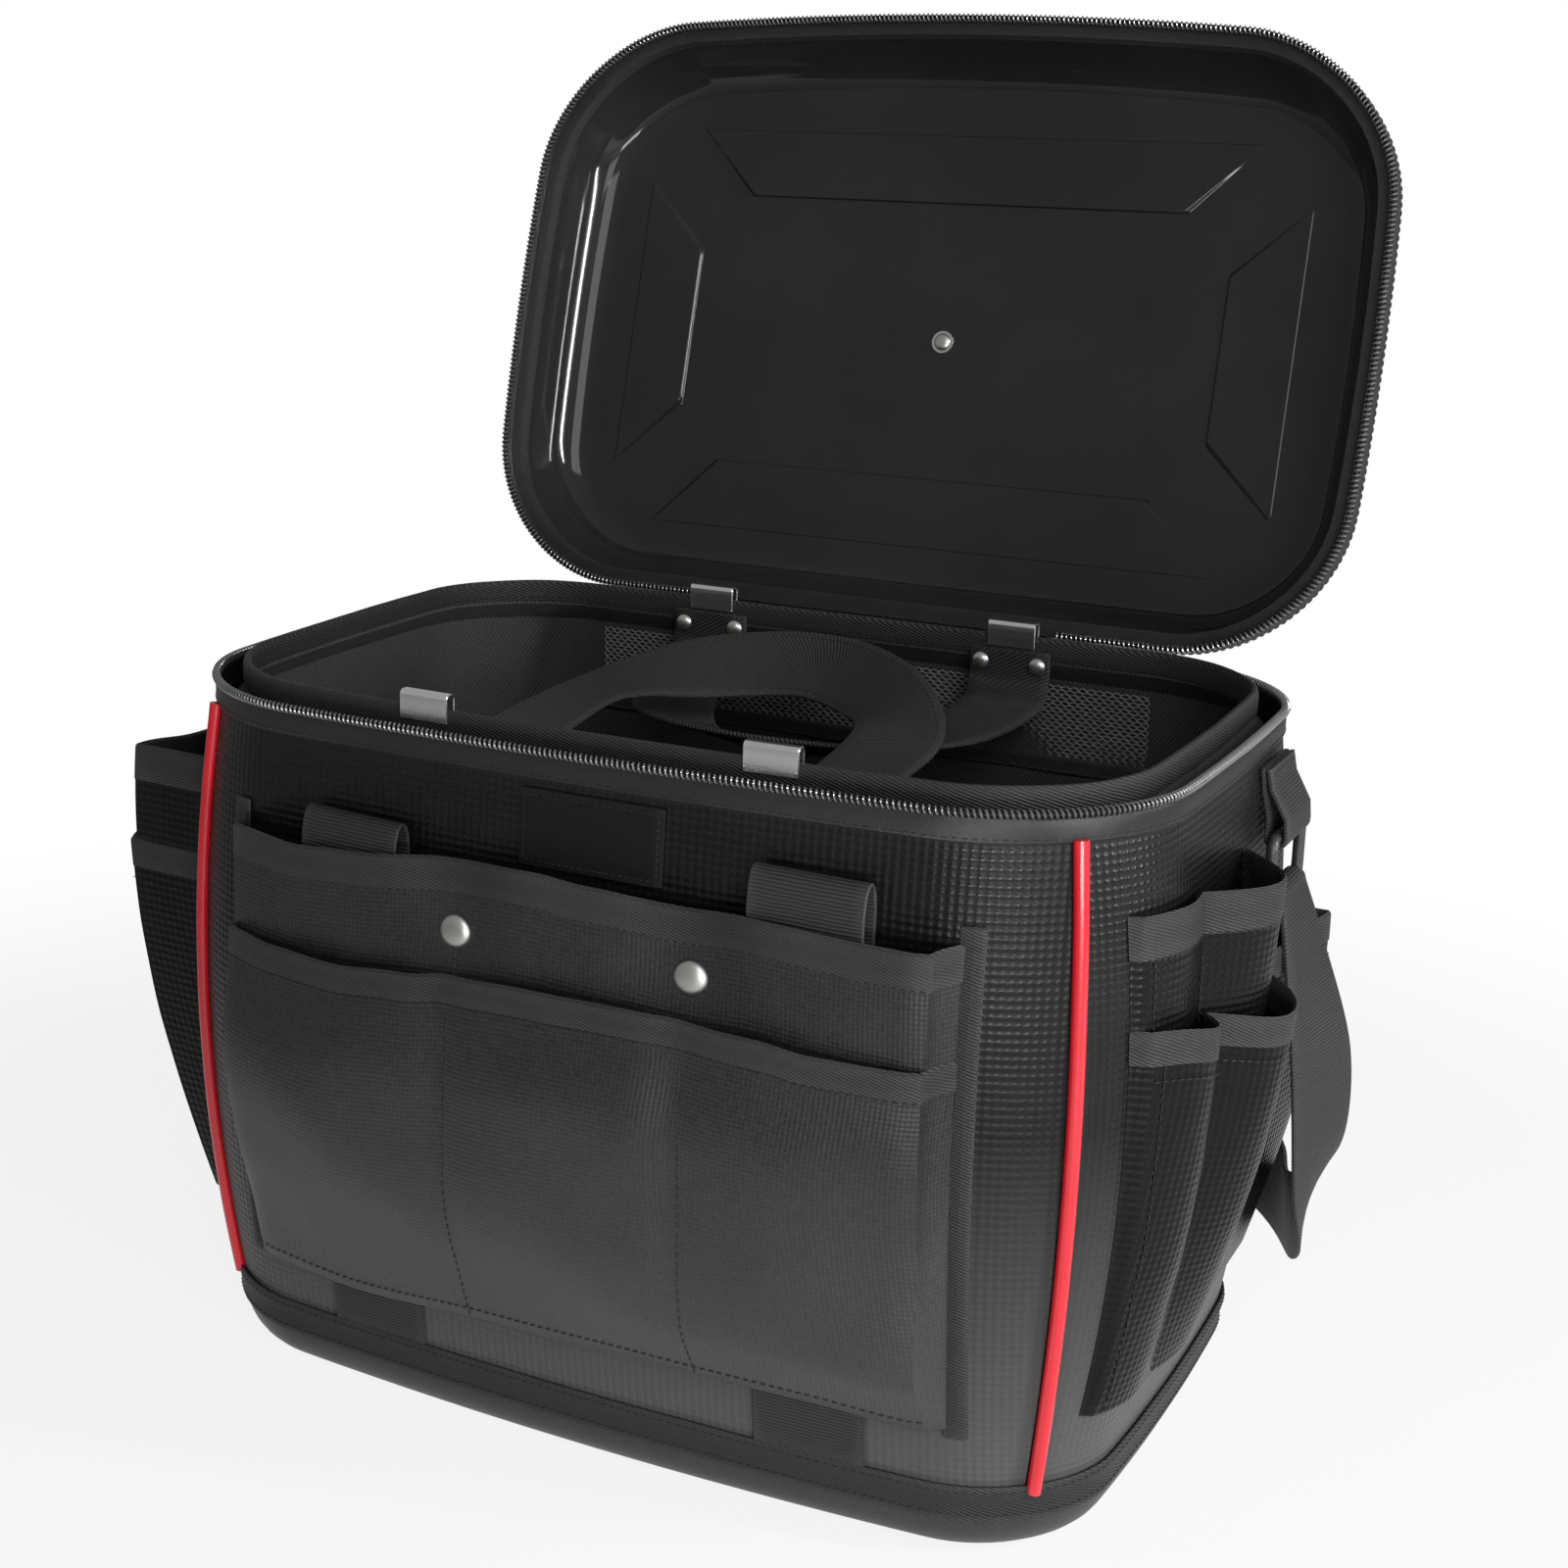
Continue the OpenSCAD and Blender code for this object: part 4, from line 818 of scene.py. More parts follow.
def hingeSheet(lift):
    rows = []
    for i, (y, z) in enumerate(hingePath):
        ny, nz = sideways(hingePath, i)
        rows.append([(x, y + ny * lift + 0.25 * crease(x, i, 0, 14), z + nz * lift)
                     for x in spread(-hinge["half"], hinge["half"], hinge["cols"])])
    return rows


hingeCloth = Sewn().slab(hingeSheet(hinge["thick"] / 2), hingeSheet(-hinge["thick"] / 2))
hingeCloth = hingeCloth.piece("lid_hinge_cloth", "tape", None, ["hinge_strip", "lid_hinge_strip"], "tape")
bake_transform(hingeCloth)
print("lid done")

# net on the inner rear wall: zigzag threads that meet at each knot, and its bound lower edge
net = {"half": 139, "low": 252, "high": 287, "cell": 2.0, "thread": 0.33, "tapeHalf": 140, "tape": (246.2, 252.6)}
meshNet = Sewn()
netRows = int((net["high"] - net["low"]) / (net["cell"] * 0.86))
netCols = int(2 * net["half"] / net["cell"])
for c in range(netCols + 1):
    path = []
    for r in range(2 * netRows + 1):
        z = net["low"] + (net["high"] - net["low"]) * r / (2 * netRows)
        sway = net["cell"] * 0.44 * (1 if (r // 2 + c) % 2 else -1)
        x = -net["half"] + 2 * net["half"] * c / netCols + sway
        x = max(-net["half"], min(net["half"], x))
        path.append((x, rearY(0, z, -6.2) + 0.5 * crease(x, z, 0, 30) + 0.2 * (c % 2), z))
    meshNet.sweep(path, (1, 0, 0), roundSection(net["thread"], 4), cap=False)
meshNet.piece("rear_net", "net", nodes=["net_pocket"], slot="net", weld=False)


def netTape(out, wavy):
    return [[(x, rearY(0, z, out) + wavy * crease(x, z, 0, 20), z + 0.5 * crease(x, 3, 0, 35))
             for x in spread(-net["tapeHalf"], net["tapeHalf"], 60)] for z in spread(*net["tape"], 4)]


netEdge = Sewn().slab(netTape(-8.0, 0.3), netTape(-5.75, 0))
netEdge.piece("rear_net_binding", "tape", nodes=["net_binding"], slot="tape")

# carry handles: one sewn inside the front rim and thrown back, one inside the rear rim and thrown forward
carry = {"x": 76, "wide": 38, "thick": 2.2, "z": 303, "seam": 15.5, "in": -15.75}
sx, sz = carry["x"], carry["z"]
sf = frontY(sx + carry["wide"] / 2, sz, carry["in"])
sr = rearY(sx, sz, carry["in"])
handleKeys = {
    "front": [(sx, sf, sz, 1, 0, 0), (sx, sf, sz - 14, 1, 0, 0), (sx, sf + 10, sz - 23, 1, 0, 0),
              (sx, sf + 70, sz - 19, 1, 0, 0), (sx - 4, sf + 130, sz - 13, 0.9, 0.4, 0),
              (sx - 34, sr - 72, sz - 9, 0.45, 0.7, 0.5), (0, sr - 50, sz - 7, 0, 0.8, 0.6)],
    "rear": [(sx, sr, sz, 1, 0, 0), (sx, sr, sz - 14, 1, 0, 0), (sx - 1, sr - 10, sz - 25, 1, 0, 0),
             (sx - 9, sr - 52, sz - 29, 0.88, -0.45, 0), (sx - 30, sr - 88, sz - 31, 0.5, -0.8, 0.25),
             (0, sr - 103, sz - 32, 0, -1, 0.45)],
}
for name, keys in handleKeys.items():
    path, wide = mirroredRun(keys, 12)
    webbing = Sewn().sweep(path, wide, tapeSection(carry["wide"], carry["thick"]))
    # the handles use the lighter painted-light copy of the webbing
    webbing.piece("carry_webbing_" + name, "handle", nodes=["carry_handle_" + name], slot="webbing")
    seam = Sewn()
    for across in (-carry["seam"], carry["seam"]):
        for lift in (-1.15, 1.15):
            line = [beside(path, wide, i, [(across, lift)])[0] for i in range(len(path))]
            seam.stitches(line[8:-8], 3.0, 1.4, 0.28)
    seam.threads("carry_stitches_" + name, "webbing")

# bright clips folded over the rim, and the rivets under them
clips = {"wide": 22, "low": 304.5, "high": 316, "thick": 1.0, "half": 2.15, "in": -12.6}


def clipProfile(half, top, corner):
    low = clips["low"]
    line = [(-half, low)] + [(-half, z) for z in spread(low + 2, top - corner, 3)]
    bend = spread(0, math.pi / 2, 6)
    line += [(-half + corner * (1 - math.cos(a)), top - corner + corner * math.sin(a)) for a in bend]
    return line + [(-x, z) for x, z in reversed(line)]


def placedClip(x0, y0, turn):
    c, s = math.cos(turn), math.sin(turn)
    across = spread(-clips["wide"] / 2, clips["wide"] / 2, 10)
    profiles = (clipProfile(clips["half"] + clips["thick"], clips["high"], 1.9),
                clipProfile(clips["half"], clips["high"] - clips["thick"], 0.9))
    return [[[(x0 + w * c - p * s, y0 + w * s + p * c, z) for p, z in profile] for w in across]
            for profile in profiles]


clipShape, rivets = Sewn(), Sewn()
clipTurn = math.atan(2 * bag["bowFront"] * sx / (bag["rimWide"] / 2 - bag["bowSide"]) ** 2)
for s in (-1, 1):
    clipShape.slab(*placedClip(s * sx, frontY(sx, bag["rimHigh"], clips["in"]), s * clipTurn), soft=0.3)
    clipShape.slab(*placedClip(s * sx, rearY(sx, bag["rimHigh"], clips["in"]), 0), soft=0.3)
    for k in (-13.5, 13.5):
        capRivet(rivets, (s * sx + k, sr - 1.15, sz - 6), (0, -1, 0), 4, 2.3)
        capRivet(rivets, (s * sx + k, sf + 1.15, sz - 6), (0, 1, 0), 4, 2.3)
clipShape.piece("rim_clips", "bright", nodes=["strap_clips"], slot="bright_metal")
rivets.piece("strap_rivet_caps", "nickel", nodes=["strap_rivets"], slot="bright_metal")
print("inside straps done")

# front pocket: two layers of cloth standing off the wall, with sagging top edges and pleated ends
front = {
    "half": 152, "foot": 59, "upperDeep": 17, "lowerDeep": 13, "cloth": 1.4, "wallGap": 1.0, "rows": 30, "cols": 56,
    "upperTop": [(-152, 255.6), (-121, 252.1), (-96, 253.8), (-50, 257.1), (-6, 259.3), (15, 257.6), (56, 254.5),
                 (82, 256.1), (128, 254.2), (152, 254)],
    "lowerTop": [(-152, 213), (-128, 210.2), (-95, 209), (-64, 211.2), (-40, 213.8), (2, 215.4), (44, 215.6),
                 (89, 213.8), (113, 211.3), (152, 210.3)],
    "fold": [(-152, 157), (-45, 116), (58, 92), (152, 86)], "foldOut": 8.0,
    "footLine": [(-152, 59.4), (-105, 57), (-28, 61.5), (42, 63.5), (107, 63.5), (152, 60.4)],
    "seams": (-45, 58), "snapHigh": 229,
}


def deepen(z, low, high, a, b):
    return a + (b - a) * sine(90 * min(1, max(0, (z - low) / (high - low))))


def seamPull(x, wide):
    return sum(math.exp(-((x - at) / wide) ** 2) for at in front["seams"])


def upperOut(x, z):
    gather = 1 - 0.35 * seamPull(x, 26) * ease((z - 195) / 40)
    ripple = 1.2 * crease(x, 0, z * 0.5, 34, 2) * ease((z - 120) / 80)
    return deepen(z, front["foot"], 256, 5, front["upperDeep"]) * gather + ripple


def lowerOut(x, z):
    crest = between(front["fold"], x)
    up = (z - front["foot"]) / (crest - front["foot"])
    fold = front["foldOut"] * (ease(up) if up < 1 else math.exp(-((z - crest) / 34) ** 2))
    sag = 3.2 * crease(x, 4, z * 0.7, 75, 7) + 1.1 * crease(x, 9, z, 28, 1)
    tie = 1 - 0.25 * seamPull(x, 9) * ease((z - 70) / 60)
    tie *= (1 - 0.6 * (abs(x) / front["half"]) ** 4) * (1 - 0.45 * ease((z - 165) / 45))
    within = deepen(z, front["foot"], 256, 5, front["upperDeep"]) + 0.6
    own = deepen(z, front["foot"], 211, 4, front["lowerDeep"]) * tie
    return within + own + sag * ease((z - front["foot"]) / 50) + fold


# a pocket layer: face, and at both ends a pleat that folds in before it meets the wall
def pocketRows(out, top):
    face, back = [], []
    half, cols, thick = front["half"], front["cols"], front["cloth"]
    for i in range(front["rows"] + 1):
        share = i / front["rows"]
        line, inner = [], []
        for k in range(-5, cols + 6):
            x = -half + 2 * half * min(max(k, 0), cols) / cols
            low = between(front["footLine"], x)
            z = low + (between(top, x) - low) * share
            far = out(x, z)
            if 0 <= k <= cols:
                rounding = 1.2 * (math.exp(-((half - abs(x)) / 3) ** 2))
                line.append((x, frontY(x, z, far - rounding), z))
                inner.append((x * (1 - thick / half), frontY(x, z, far - rounding - thick), z))
            else:
                step = (-k if k < 0 else k - cols) / 5
                side = -1 if x < 0 else 1
                fold = 1.6 * math.sin(math.pi * min(1, step * 1.05)) * ease(share * 1.6)
                xx = side * (half + 6.5 * step - fold)
                y = frontY(xx, z, far + (front["wallGap"] - far) * step)
                line.append((xx, y, z))
                inner.append((xx - side * thick, y, z))
        face.append(line)
        back.append(inner)
    return face, back


# tape folded over a top edge: follows the last rows of the cloth
def foldedTape(shape, face, back, rows=3, proud=0.45):
    count = len(face)

    def off(i, near, far, lift):
        return [tuple(Vector(p) + (Vector(p) - Vector(q)).normalized() * lift) for p, q in zip(near[i], far[i])]
    outside = [off(i, face, back, proud) for i in range(count - rows, count)]
    inside = [off(i, back, face, proud) for i in range(count - 1, count - rows - 1, -1)]
    crest = []
    for p, q, r in zip(outside[-1], inside[0], face[-2]):
        up = (Vector(p) - Vector(r)).normalized()
        crest.append(tuple((Vector(p) + Vector(q)) / 2 + up * 1.2))
    first = count - rows
    return shape.grid([off(first, face, back, 0.05)] + outside + [crest] + inside + [off(first, back, face, 0.05)])


# one row or one column of a cloth face, moved off it for stitches
def faceLine(face, share, lift):
    i = share * (len(face) - 1)
    a = int(min(i, len(face) - 2))
    points = [Vector(p).lerp(Vector(q), i - a) for p, q in zip(face[a][5:-5], face[a + 1][5:-5])]
    return [(x, y - lift, z) for x, y, z in points]


def faceColumn(rows, k, dx, dy):
    return [(row[k][0] + dx, row[k][1] + dy, row[k][2]) for row in rows]


layers = {"upper": pocketRows(upperOut, front["upperTop"]), "lower": pocketRows(lowerOut, front["lowerTop"])}
for layer, faces in layers.items():
    cloth = Sewn().slab(*faces)
    cloth.piece(f"front_pocket_{layer}_cloth", "pocket", nodes=["front_pocket_" + layer], slot="pocket_cloth")
for layer, faces in layers.items():
    edge = foldedTape(Sewn(), *faces)
    edge.piece(f"front_pocket_{layer}_edge", "tape", nodes=[f"front_{layer}_binding"], slot="tape")
upperFace, lowerFace = layers["upper"][0], layers["lower"][0]
pocketSeam = Sewn()
for face, share, lift, stitch in ((upperFace, 0.935, 1.0, 2.4), (lowerFace, 0.93, 1.0, 2.4),
                                  (lowerFace, 0.028, 0.25, 2.6)):
    pocketSeam.stitches(faceLine(face, share, lift), stitch, 1.0)
for x in front["seams"]:
    k = 5 + round((x + front["half"]) / (2 * front["half"]) * front["cols"])
    pocketSeam.stitches(faceColumn(lowerFace[:28], k, 0, -0.3), 2.8, 1.2)
    pocketSeam.stitches(faceColumn(upperFace[22:26], k, 0, -0.3), 2.2, 1.0)
for face in (upperFace, lowerFace):
    for k in (0, -1):
        pocketSeam.stitches(faceColumn(face, k, 0, -0.6), 2.8, 1.2)
pocketSeam.threads("front_pocket_stitches", "pocket_cloth")
sideTape = {"near": 156.5, "far": 165, "low": 56, "high": 261, "seam": 161.5}
for side, s in (("right", 1), ("left", -1)):
    faces = []
    for proud, swell in ((1.35, 0.5), (0.35, 0)):
        faces.append([[(s * x, frontY(x, z, proud + swell * sine(180 * (x - sideTape["near"]) / 8.5)),
                        z + 0.4 * crease(x, z, s, 12)) for x in spread(sideTape["near"], sideTape["far"], 6)]
                      for z in spread(sideTape["low"], sideTape["high"], 60)])
    Sewn().slab(*faces).piece("front_pocket_side_tape_" + side, "tape", slot="tape")
    x = sideTape["seam"]
    seam = Sewn().stitches([(s * x, frontY(x, z, 1.85), z) for z in spread(58, 260, 40)], 2.6, 1.1)
    seam.threads("front_pocket_side_stitches_" + side, "tape")
snaps = Sewn()
z = front["snapHigh"]
for x in front["seams"]:
    capRivet(snaps, (x, frontY(x, z, upperOut(x, z) + 0.2), z), (0.001 * x, -1, 0.05), 7.2, 2.8)
snaps.piece("front_pocket_snaps", "nickel", nodes=["pocket_rivets"], slot="bright_metal")
print("front pocket done")

# blank sewn patch and the webbing that runs up behind the pocket to a loop
patch = {"left": -23, "right": 39, "low": 258, "high": 288, "hem": 2}


def patchFace(out, drop):
    def rise(x):
        return out - drop * max(ease(1 - (x - patch["left"]) / 2), ease(1 - (patch["right"] - x) / 2))
    return [[(x, frontY(x, z, rise(x)), z) for x in spread(patch["left"], patch["right"], 24)]
            for z in spread(patch["low"], patch["high"], 12)]


patchCloth = Sewn().slab(patchFace(1.5, 0.5), patchFace(0.3, 0))
patchCloth.piece("front_blank_patch", "patch", nodes=["front_patch"], slot="patch")
x0, x1 = patch["left"] + patch["hem"], patch["right"] - patch["hem"]
z0, z1 = patch["low"] + patch["hem"], patch["high"] - patch["hem"]
border = []
for a, b, c, d in ((x0, z0, x1, z0), (x1, z0, x1, z1), (x1, z1, x0, z1), (x0, z1, x0, z0)):
    line = [(a + (c - a) * t / 12, b + (d - b) * t / 12) for t in range(12)]
    border += [(x, frontY(x, z, 1.65), z) for x, z in line]
Sewn().stitches(border, 2.0, 0.9, 0.25, loop=True).threads("front_patch_stitches", "patch")
loops = {"right": (102, 0), "left": (-97, -8), "wide": 45, "thick": 1.4,
         "keys": [(1.1, 34.5), (1.1, 80), (1.1, 150), (1.1, 220), (1.2, 258), (1.6, 266), (3.4, 272.5), (6.4, 274.6),
                  (9.6, 272.6), (11.3, 266), (11.5, 257), (10.6, 250)]}
loopPath = smoothRun(loops["keys"], 5)
for side in ("right", "left"):
    middle, drop = loops[side]
    faces = [], []
    for i, (out, z) in enumerate(loopPath):
        no, nz = sideways(loopPath, i)
        fall = drop * ease((z - 230) / 40)
        for rows, half in zip(faces, (-loops["thick"] / 2, loops["thick"] / 2)):
            line = []
            for x in spread(middle - loops["wide"] / 2, middle + loops["wide"] / 2, 12):
                tilt = fall - 0.03 * (x - middle) * ease((z - 240) / 20)
                line.append((x, frontY(x, z, out + no * half), z + tilt + nz * half))
            rows.append(line)
    webbing = Sewn().slab(*faces)
    webbing.piece("front_loop_webbing_" + side, "webbing", nodes=["front_webbing_" + side], slot="webbing")

# side pockets: tubes with bound tops, a third tube behind them in the lower layer
sidePocket = {"front": -102, "rear": 6, "end": 90, "split": 5 / 12, "foot": 62, "upperTop": 260, "lowerTop": 214,
              "deep": 22, "openDeep": 38, "lowerDeep": 9, "upperCols": 60, "lowerCols": 96, "rows": 26, "cloth": 1.3}
sideStart, sideRear, sideEnd = sidePocket["front"], sidePocket["rear"], sidePocket["end"]
split, sideFoot = sidePocket["split"], sidePocket["foot"]


def tubeBump(v, late=1.0):
    return abs(sine(180 * (v / split) ** late)) if v < split else abs(sine(180 * (v - split) / (1 - split)))


def sideUpper(y, z, left):
    v = (y - sideStart) / (sideRear - sideStart)
    high = sidePocket["upperTop"]
    if left:
        tail = (max(v, split) - split) / (1 - split)
        flare = 1 - 0.3 * sine(90 * min(1, v / split)) if v < split else 0.7 - 0.2 * tail ** 2 + 0.08 * tubeBump(v)
        return 0.5 + flare * deepen(z, sideFoot, high, 5, sidePocket["openDeep"])
    flare = 0.16 + (0.08 if v < split else 0.95) * tubeBump(v)
    deep = 4 + (sidePocket["deep"] - 4) * (z - sideFoot) / (high - sideFoot)
    return 0.5 + flare * deep + 0.5 * crease(y, 0, z, 24, 11)


def sideLower(y, z, left):
    grown = deepen(z, sideFoot, sidePocket["lowerTop"], 1, sidePocket["lowerDeep"])
    if y <= sideRear:
        bump = tubeBump(max(0, y - sideStart) / (sideRear - sideStart), 1.0 if left else 1.3)
        slack = 0.6 * ease((z - 80) / 60) * (1 + crease(y, 5, z, 30, 4))
        return sideUpper(y, z, left) + 2.6 + grown * bump + slack
    v = (y - sideRear) / (sideEnd - sideRear)
    near = sideUpper(sideRear, z, left) * max(0, 1 - v * 6)
    return near + 2.6 + grown * (sine(90 * min(1, v / 0.4)) + 0.9 * max(0, (v - 0.6) / 0.4))


def sideRows(out, yb, top, left, cols, near=0.5):
    face, back = [], []
    thick = sidePocket["cloth"]
    for i in range(sidePocket["rows"] + 1):
        line, inner = [], []
        for k in range(-4, cols + 5):
            y = sideStart + (yb - sideStart) * min(max(k, 0), cols) / cols
            z = sideFoot + (top(y) - sideFoot) * i / sidePocket["rows"]
            far = out(y, z, left)
            if 0 <= k <= cols:
                line.append((rightX(y, z, far), y, z))
                inner.append((rightX(y, z, max(far - thick, 0.3)), y, z))
            else:
                step = (-k if k < 0 else k - cols) / 4
                side = -1 if k < 0 else 1
                yy = y + side * 2.5 * step
                x = rightX(yy, z, far + (near - far) * step)
                line.append((x, yy, z))
                inner.append((x, yy - side * thick, z))
        face.append(line)
        back.append(inner)
    return face, back


for side, left in (("right", False), ("left", True)):
    def upperEdge(y):
        raised = 2.5 * ease((-y - 70) / 30) if left else 1.5 * ease((-y - 60) / 40)
        return sidePocket["upperTop"] + raised + 0.8 * crease(y, 2, 0, 30, 8)

    def lowerEdge(y):
        dip = 0 if left else 5 * math.exp(-((y + 30) / 22) ** 2)
        return sidePocket["lowerTop"] + 4 * ease((-y - 64) / 30) - dip + 0.8 * crease(y, 3, 0, 26, 6)

    def placed(shape):
        if left:
            shape.verts = [(-x, y, z) for x, y, z in shape.verts]
        return shape
    upper = sideRows(sideUpper, sideRear, upperEdge, left, sidePocket["upperCols"])
    lower = sideRows(sideLower, sideEnd, lowerEdge, left, sidePocket["lowerCols"])
    seam = Sewn()
    for face, share in ((upper[0], 0.93), (lower[0], 0.92)):
        row = face[int(share * (len(face) - 1))][4:-4]
        seam.stitches([(x + 1.0, y, z) for x, y, z in row], 2.4, 1.0)
    upperPitch = (upper[0], sideRear - sideStart, sidePocket["upperCols"])
    lowerPitch = (lower[0], sideEnd - sideStart, sidePocket["lowerCols"])
    for y, (face, span, cols), last in ((-57, upperPitch, 24), (-57, lowerPitch, 24), (6, lowerPitch, 24),
                                        (-99, upperPitch, 26), (-99, lowerPitch, 26)):
        k = 4 + round((y - sideStart) / span * cols)
        seam.stitches(faceColumn(face[:last], k, 0.35, 0), 2.8, 1.2)
    for layer, faces in (("upper", upper), ("lower", lower)):
        cloth = placed(Sewn().slab(*faces))
        node = f"{side}_pocket_{layer}"
        # side pocket cloth takes the darker painted-shade copy of the embossed cloth
        cloth.piece(node + "_cloth", "shadedSideCloth", nodes=[node], slot="pocket_cloth")
    edges = placed(foldedTape(foldedTape(Sewn(), *upper), *lower))
    edges.piece(side + "_pocket_edges", "tape", nodes=[side + "_pocket_bindings"], slot="tape")
    placed(seam).threads(side + "_pocket_stitches", "pocket_cloth")
print("side pockets done")

# shoulder strap: sewn tabs, wire rings and one length of webbing round the back
sling = {"y": 50, "wide": 38, "thick": 2.2, "wire": 2.5, "barZ": 234, "tabZ": 260, "topZ": 288, "ringZ": 247,
         "ringHalf": (22.5, 13), "ringCorner": 5, "wallGap": 0.4, "wireGap": 0.35, "foldZ": (230, 224, 218),
         "boxHalf": 16, "boxLow": 274, "boxHigh": 286}
midY, barZ, tabZ = sling["y"], sling["barZ"], sling["tabZ"]
nearY = midY - sling["wide"] / 2
wallX = max(rightX(nearY, z) for z in (tabZ, barZ, sling["foldZ"][-1]))
ringX = wallX + sling["wallGap"] + sling["wire"] + sling["wireGap"] + sling["thick"]
loopR = sling["wire"] + sling["wireGap"] + sling["thick"] / 2
rearGap = wallSize(150)[1] / 2 - bag["bowFront"] + 20
slingKeys = [(ringX + loopR, midY, barZ, 0, 1, 0), (ringX + loopR + 6, 51, 210, 0.15, 1, 0),
             (ringX + 20, 57, 158, 0.4, 0.9, 0.15), (ringX + 18, 74, 104, 0.3, 0.9, 0.5),
             (ringX + 4, 99, 70, -0.3, 0.6, 1), (ringX - 20, rearGap - 16, 70, 0, 0.2, 1),
             (ringX - 70, rearGap, 94, 0, 0, 1), (ringX - 140, rearGap + 2, 122, 0, 0, 1),
             (0, rearGap + 2, 130, 0, 0, 1)]
strapShape = tapeSection(sling["wide"], sling["thick"])
tabShape = tapeSection(sling["wide"], sling["thick"] - 0.1)


def loopArc(side, turns, level):
    angles = [math.radians(a) for a in turns]
    return [(ringX + side * loopR * math.cos(a), level + side * loopR * math.sin(a)) for a in angles]


strap = Sewn().sweep(*mirroredRun(slingKeys, 10), strapShape)
hooks = loopArc(1, spread(0, 180, 10), barZ) + [(ringX - loopR, z) for z in sling["foldZ"]]
for s in (1, -1):
    strap.sweep([(s * x, midY, z) for x, z in hooks], (0, 1, 0), strapShape)
strap.piece("shoulder_webbing", "webbing", nodes=["shoulder_strap"], slot="webbing")
tabX = rightX(nearY, sling["topZ"]) + sling["wallGap"]
boxHalf, boxLow, boxHigh = sling["boxHalf"], sling["boxLow"], sling["boxHigh"]
for side, s in (("right", 1), ("left", -1)):
    line = [(tabX + 1.1, 288.2), (tabX + 2, 280), (ringX - loopR + 0.4, 268), (ringX - loopR, 261)]
    line += loopArc(-1, spread(15, 165, 8), tabZ)
    line += [(ringX + loopR, 261), (ringX + loopR - 0.6, 268), (tabX + 5, 280), (tabX + 3.4, 288.2)]
    tab = Sewn().sweep([(s * x, midY, z) for x, z in line], (0, 1, 0), tabShape)
    tab.piece("sling_tab_" + side, "webbing", nodes=["anchor_tab_" + side], slot="webbing")
    seam = Sewn()
    for a, b in ((boxHigh, boxHigh), (boxLow, boxLow), (boxHigh, boxLow), (boxLow, boxHigh)):
        run = []
        for y, z in zip(spread(-boxHalf, boxHalf, 8), spread(a, b, 8)):
            run.append((s * (tabX + 4.7 + (sling["topZ"] - z) * 0.14), midY + y, z))
        seam.stitches(run, 2.4, 1.0)
    seam.threads("sling_tab_stitches_" + side, "webbing")
    wire = []
    (hw, hz), cr = sling["ringHalf"], sling["ringCorner"]
    for k, (ty, tz) in enumerate(((1, 1), (-1, 1), (-1, -1), (1, -1))):
        cy, cz = midY + ty * (hw - cr), sling["ringZ"] + tz * (hz - cr)
        turns = [math.radians(90 * k + a) for a in spread(0, 90, 6)]
        wire += [(s * ringX, cy + cr * math.cos(a), cz + cr * math.sin(a)) for a in turns]
    ring = Sewn().sweep(wire, (1, 0, 0), roundSection(sling["wire"], 12), loop=True)
    ring.piece("sling_ring_" + side, "darkMetal", nodes=["strap_ring_" + side], slot="dark_metal")
print("shoulder strap done")

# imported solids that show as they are, with their finishes
shownSolids = {"board": ("floor_board", "front_board", "right_board", "rear_board", "left_board"),
               "darkMetal": ("slider_right", "slider_left", "pull_right", "pull_left")}
for look, nodes in shownSolids.items():
    for node in nodes:
        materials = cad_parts[node].data.materials
        materials.clear()
        materials.append(finishes[look])

# plain floor, studio light and the camera of the photograph
studio = {"floor": 6.0, "pale": 0.9, "shadow": 0.15, "fade": (0.45, 0.9), "gleamFade": (0.3, 0.85), "gleam": 0.6,
          "key": 15, "fill": 9.5, "low": 2.4, "strip": 12, "world": 0.1, "mirror": 0.28}


def mixed(tree, factor, a, b, out):
    mix = tree.nodes.new("ShaderNodeMixShader")
    for socket, value in zip(mix.inputs, (factor, a, b)):
        tree.links.new(value, socket)
    tree.links.new(mix.outputs[0], out)


def rayKinds(tree):
    rays = tree.nodes.new("ShaderNodeLightPath").outputs
    return rays["Is Camera Ray"], mathNode(tree, "MAXIMUM", rays["Is Glossy Ray"], rays["Is Transmission Ray"])


def stageMaterial():
    material = bpy.data.materials.new("paleFloor")
    material.use_nodes = True
    tree = material.node_tree
    shader = tree.nodes["Principled BSDF"]
    shader.inputs["Base Color"].default_value = (studio["pale"],) * 3 + (1,)
    shader.inputs["Roughness"].default_value = 0.9
    shader.inputs["Specular IOR Level"].default_value = 0.1
    glow = tree.nodes.new("ShaderNodeEmission")
    glow.inputs[0].default_value = (1, 1, 1, 1)
    far = tree.nodes.new("ShaderNodeVectorMath")
    far.operation = "LENGTH"
    tree.links.new(objectCoords(tree), far.inputs[0])

    def fade(near, off, start, end):
        span = tree.nodes.new("ShaderNodeMapRange")
        span.interpolation_type = "SMOOTHSTEP"
        for label, value in (("From Min", near), ("From Max", off), ("To Min", start), ("To Max", end)):
            span.inputs[label].default_value = value
        tree.links.new(far.outputs["Value"], span.inputs["Value"])
        return span.outputs[0]
    eye, mirror = rayKinds(tree)
    seen = times(tree, eye, fade(*studio["fade"], 1 - studio["shadow"], 1))
    gleam = times(tree, mirror, fade(*studio["gleamFade"], studio["gleam"], 0.1 * studio["gleam"]))
    share = mathNode(tree, "MAXIMUM", seen, gleam)
    mixed(tree, share, shader.outputs[0], glow.outputs[0], tree.nodes["Material Output"].inputs[0])
    return material


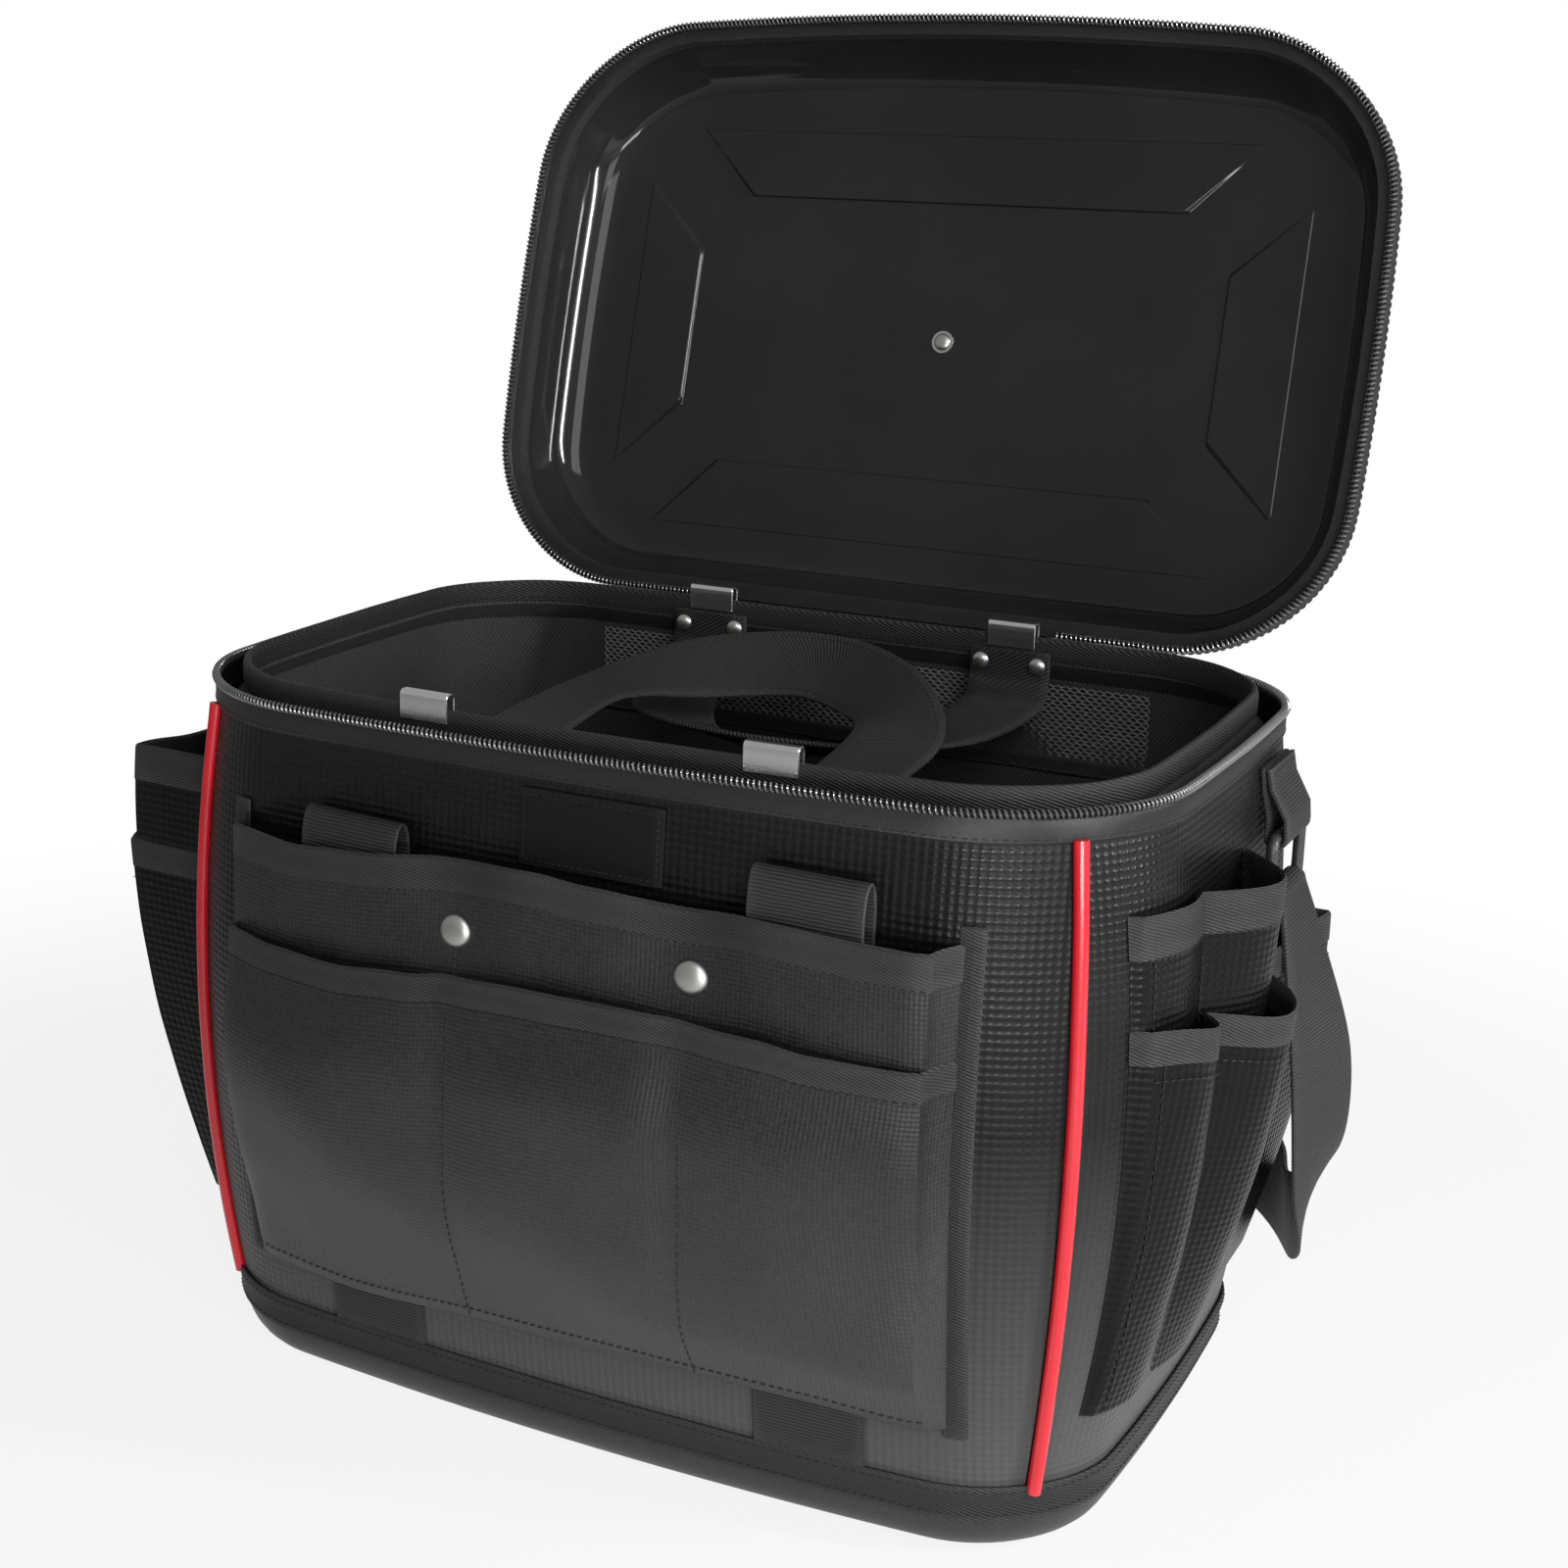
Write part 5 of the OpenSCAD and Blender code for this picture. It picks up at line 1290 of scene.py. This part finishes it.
floorMesh = bpy.data.meshes.new("studio_floor")
f = studio["floor"]
floorMesh.from_pydata([(-f, -f, 0), (f, -f, 0), (f, f, 0), (-f, f, 0)], [], [(0, 1, 2, 3)])
floorMesh.materials.append(stageMaterial())
floor = bpy.data.objects.new("studio_floor", floorMesh)
scene.collection.objects.link(floor)

world = bpy.data.worlds.new("studio")
scene.world = world
world.use_nodes = True
tree = world.node_tree
ground = tree.nodes["Background"]
white = tree.nodes.new("ShaderNodeBackground")
for node, strength in ((ground, studio["world"]), (white, 1)):
    node.inputs[0].default_value = (1, 1, 1, 1)
    node.inputs[1].default_value = strength
eye, mirror = rayKinds(tree)
share = mathNode(tree, "MAXIMUM", eye, times(tree, mirror, studio["mirror"]))
mixed(tree, share, ground.outputs[0], white.outputs[0], tree.nodes["World Output"].inputs[0])


def softLight(name, at, aim, size):
    data = bpy.data.lights.new(name, "AREA")
    data.shape = "RECTANGLE"
    data.size, data.size_y = size
    data.energy = studio[name]
    obj = bpy.data.objects.new(name, data)
    obj.location = at
    obj.rotation_euler = (Vector(aim) - Vector(at)).to_track_quat("-Z", "Y").to_euler()
    scene.collection.objects.link(obj)


softLight("key", (1.3, -1.7, 1.5), (0, 0, 0.2), (1.2, 1.2))
softLight("low", (0.5, -0.78, 0.24), (0.02, -0.15, 0.12), (0.5, 0.1))
softLight("fill", (1.9, -1.3, 0.6), (0, 0, 0.2), (1.0, 0.9))
softLight("strip", (1.3, 0.05, 0.7), (-0.2, 0.2, 0.45), (0.05, 0.8))

# angles in degrees, places in metres, focal length and picture centre in pixels of the photograph
cameraFit = {"azimuth": 28.8, "elevation": 13.417, "roll": 0.866, "target": (0, -0.141929, 0.330263), "away": 0.99463,
             "focal": 2666.879, "centre": (596.636, 698.203), "pixels": 1600, "sensor": 36}
az, el, roll = (math.radians(cameraFit[k]) for k in ("azimuth", "elevation", "roll"))
back = Vector((math.sin(az) * math.cos(el), -math.cos(az) * math.cos(el), math.sin(el)))
right = Vector((math.cos(az), math.sin(az), 0))
up = back.cross(right)
right, up = right * math.cos(roll) + up * math.sin(roll), up * math.cos(roll) - right * math.sin(roll)
lens = bpy.data.cameras.new("photo_camera")
pixels = cameraFit["pixels"]
lens.sensor_width = cameraFit["sensor"]
lens.lens = cameraFit["focal"] / pixels * cameraFit["sensor"]
lens.shift_x = (pixels / 2 - cameraFit["centre"][0]) / pixels
lens.shift_y = (cameraFit["centre"][1] - pixels / 2) / pixels
lens.clip_start, lens.clip_end = 0.05, 50
camera = bpy.data.objects.new("photo_camera", lens)
place = Matrix((right, up, back)).transposed().to_4x4()
place.translation = Vector(cameraFit["target"]) + back * cameraFit["away"]
camera.matrix_world = place
scene.collection.objects.link(camera)
scene.camera = camera
print("stage set")
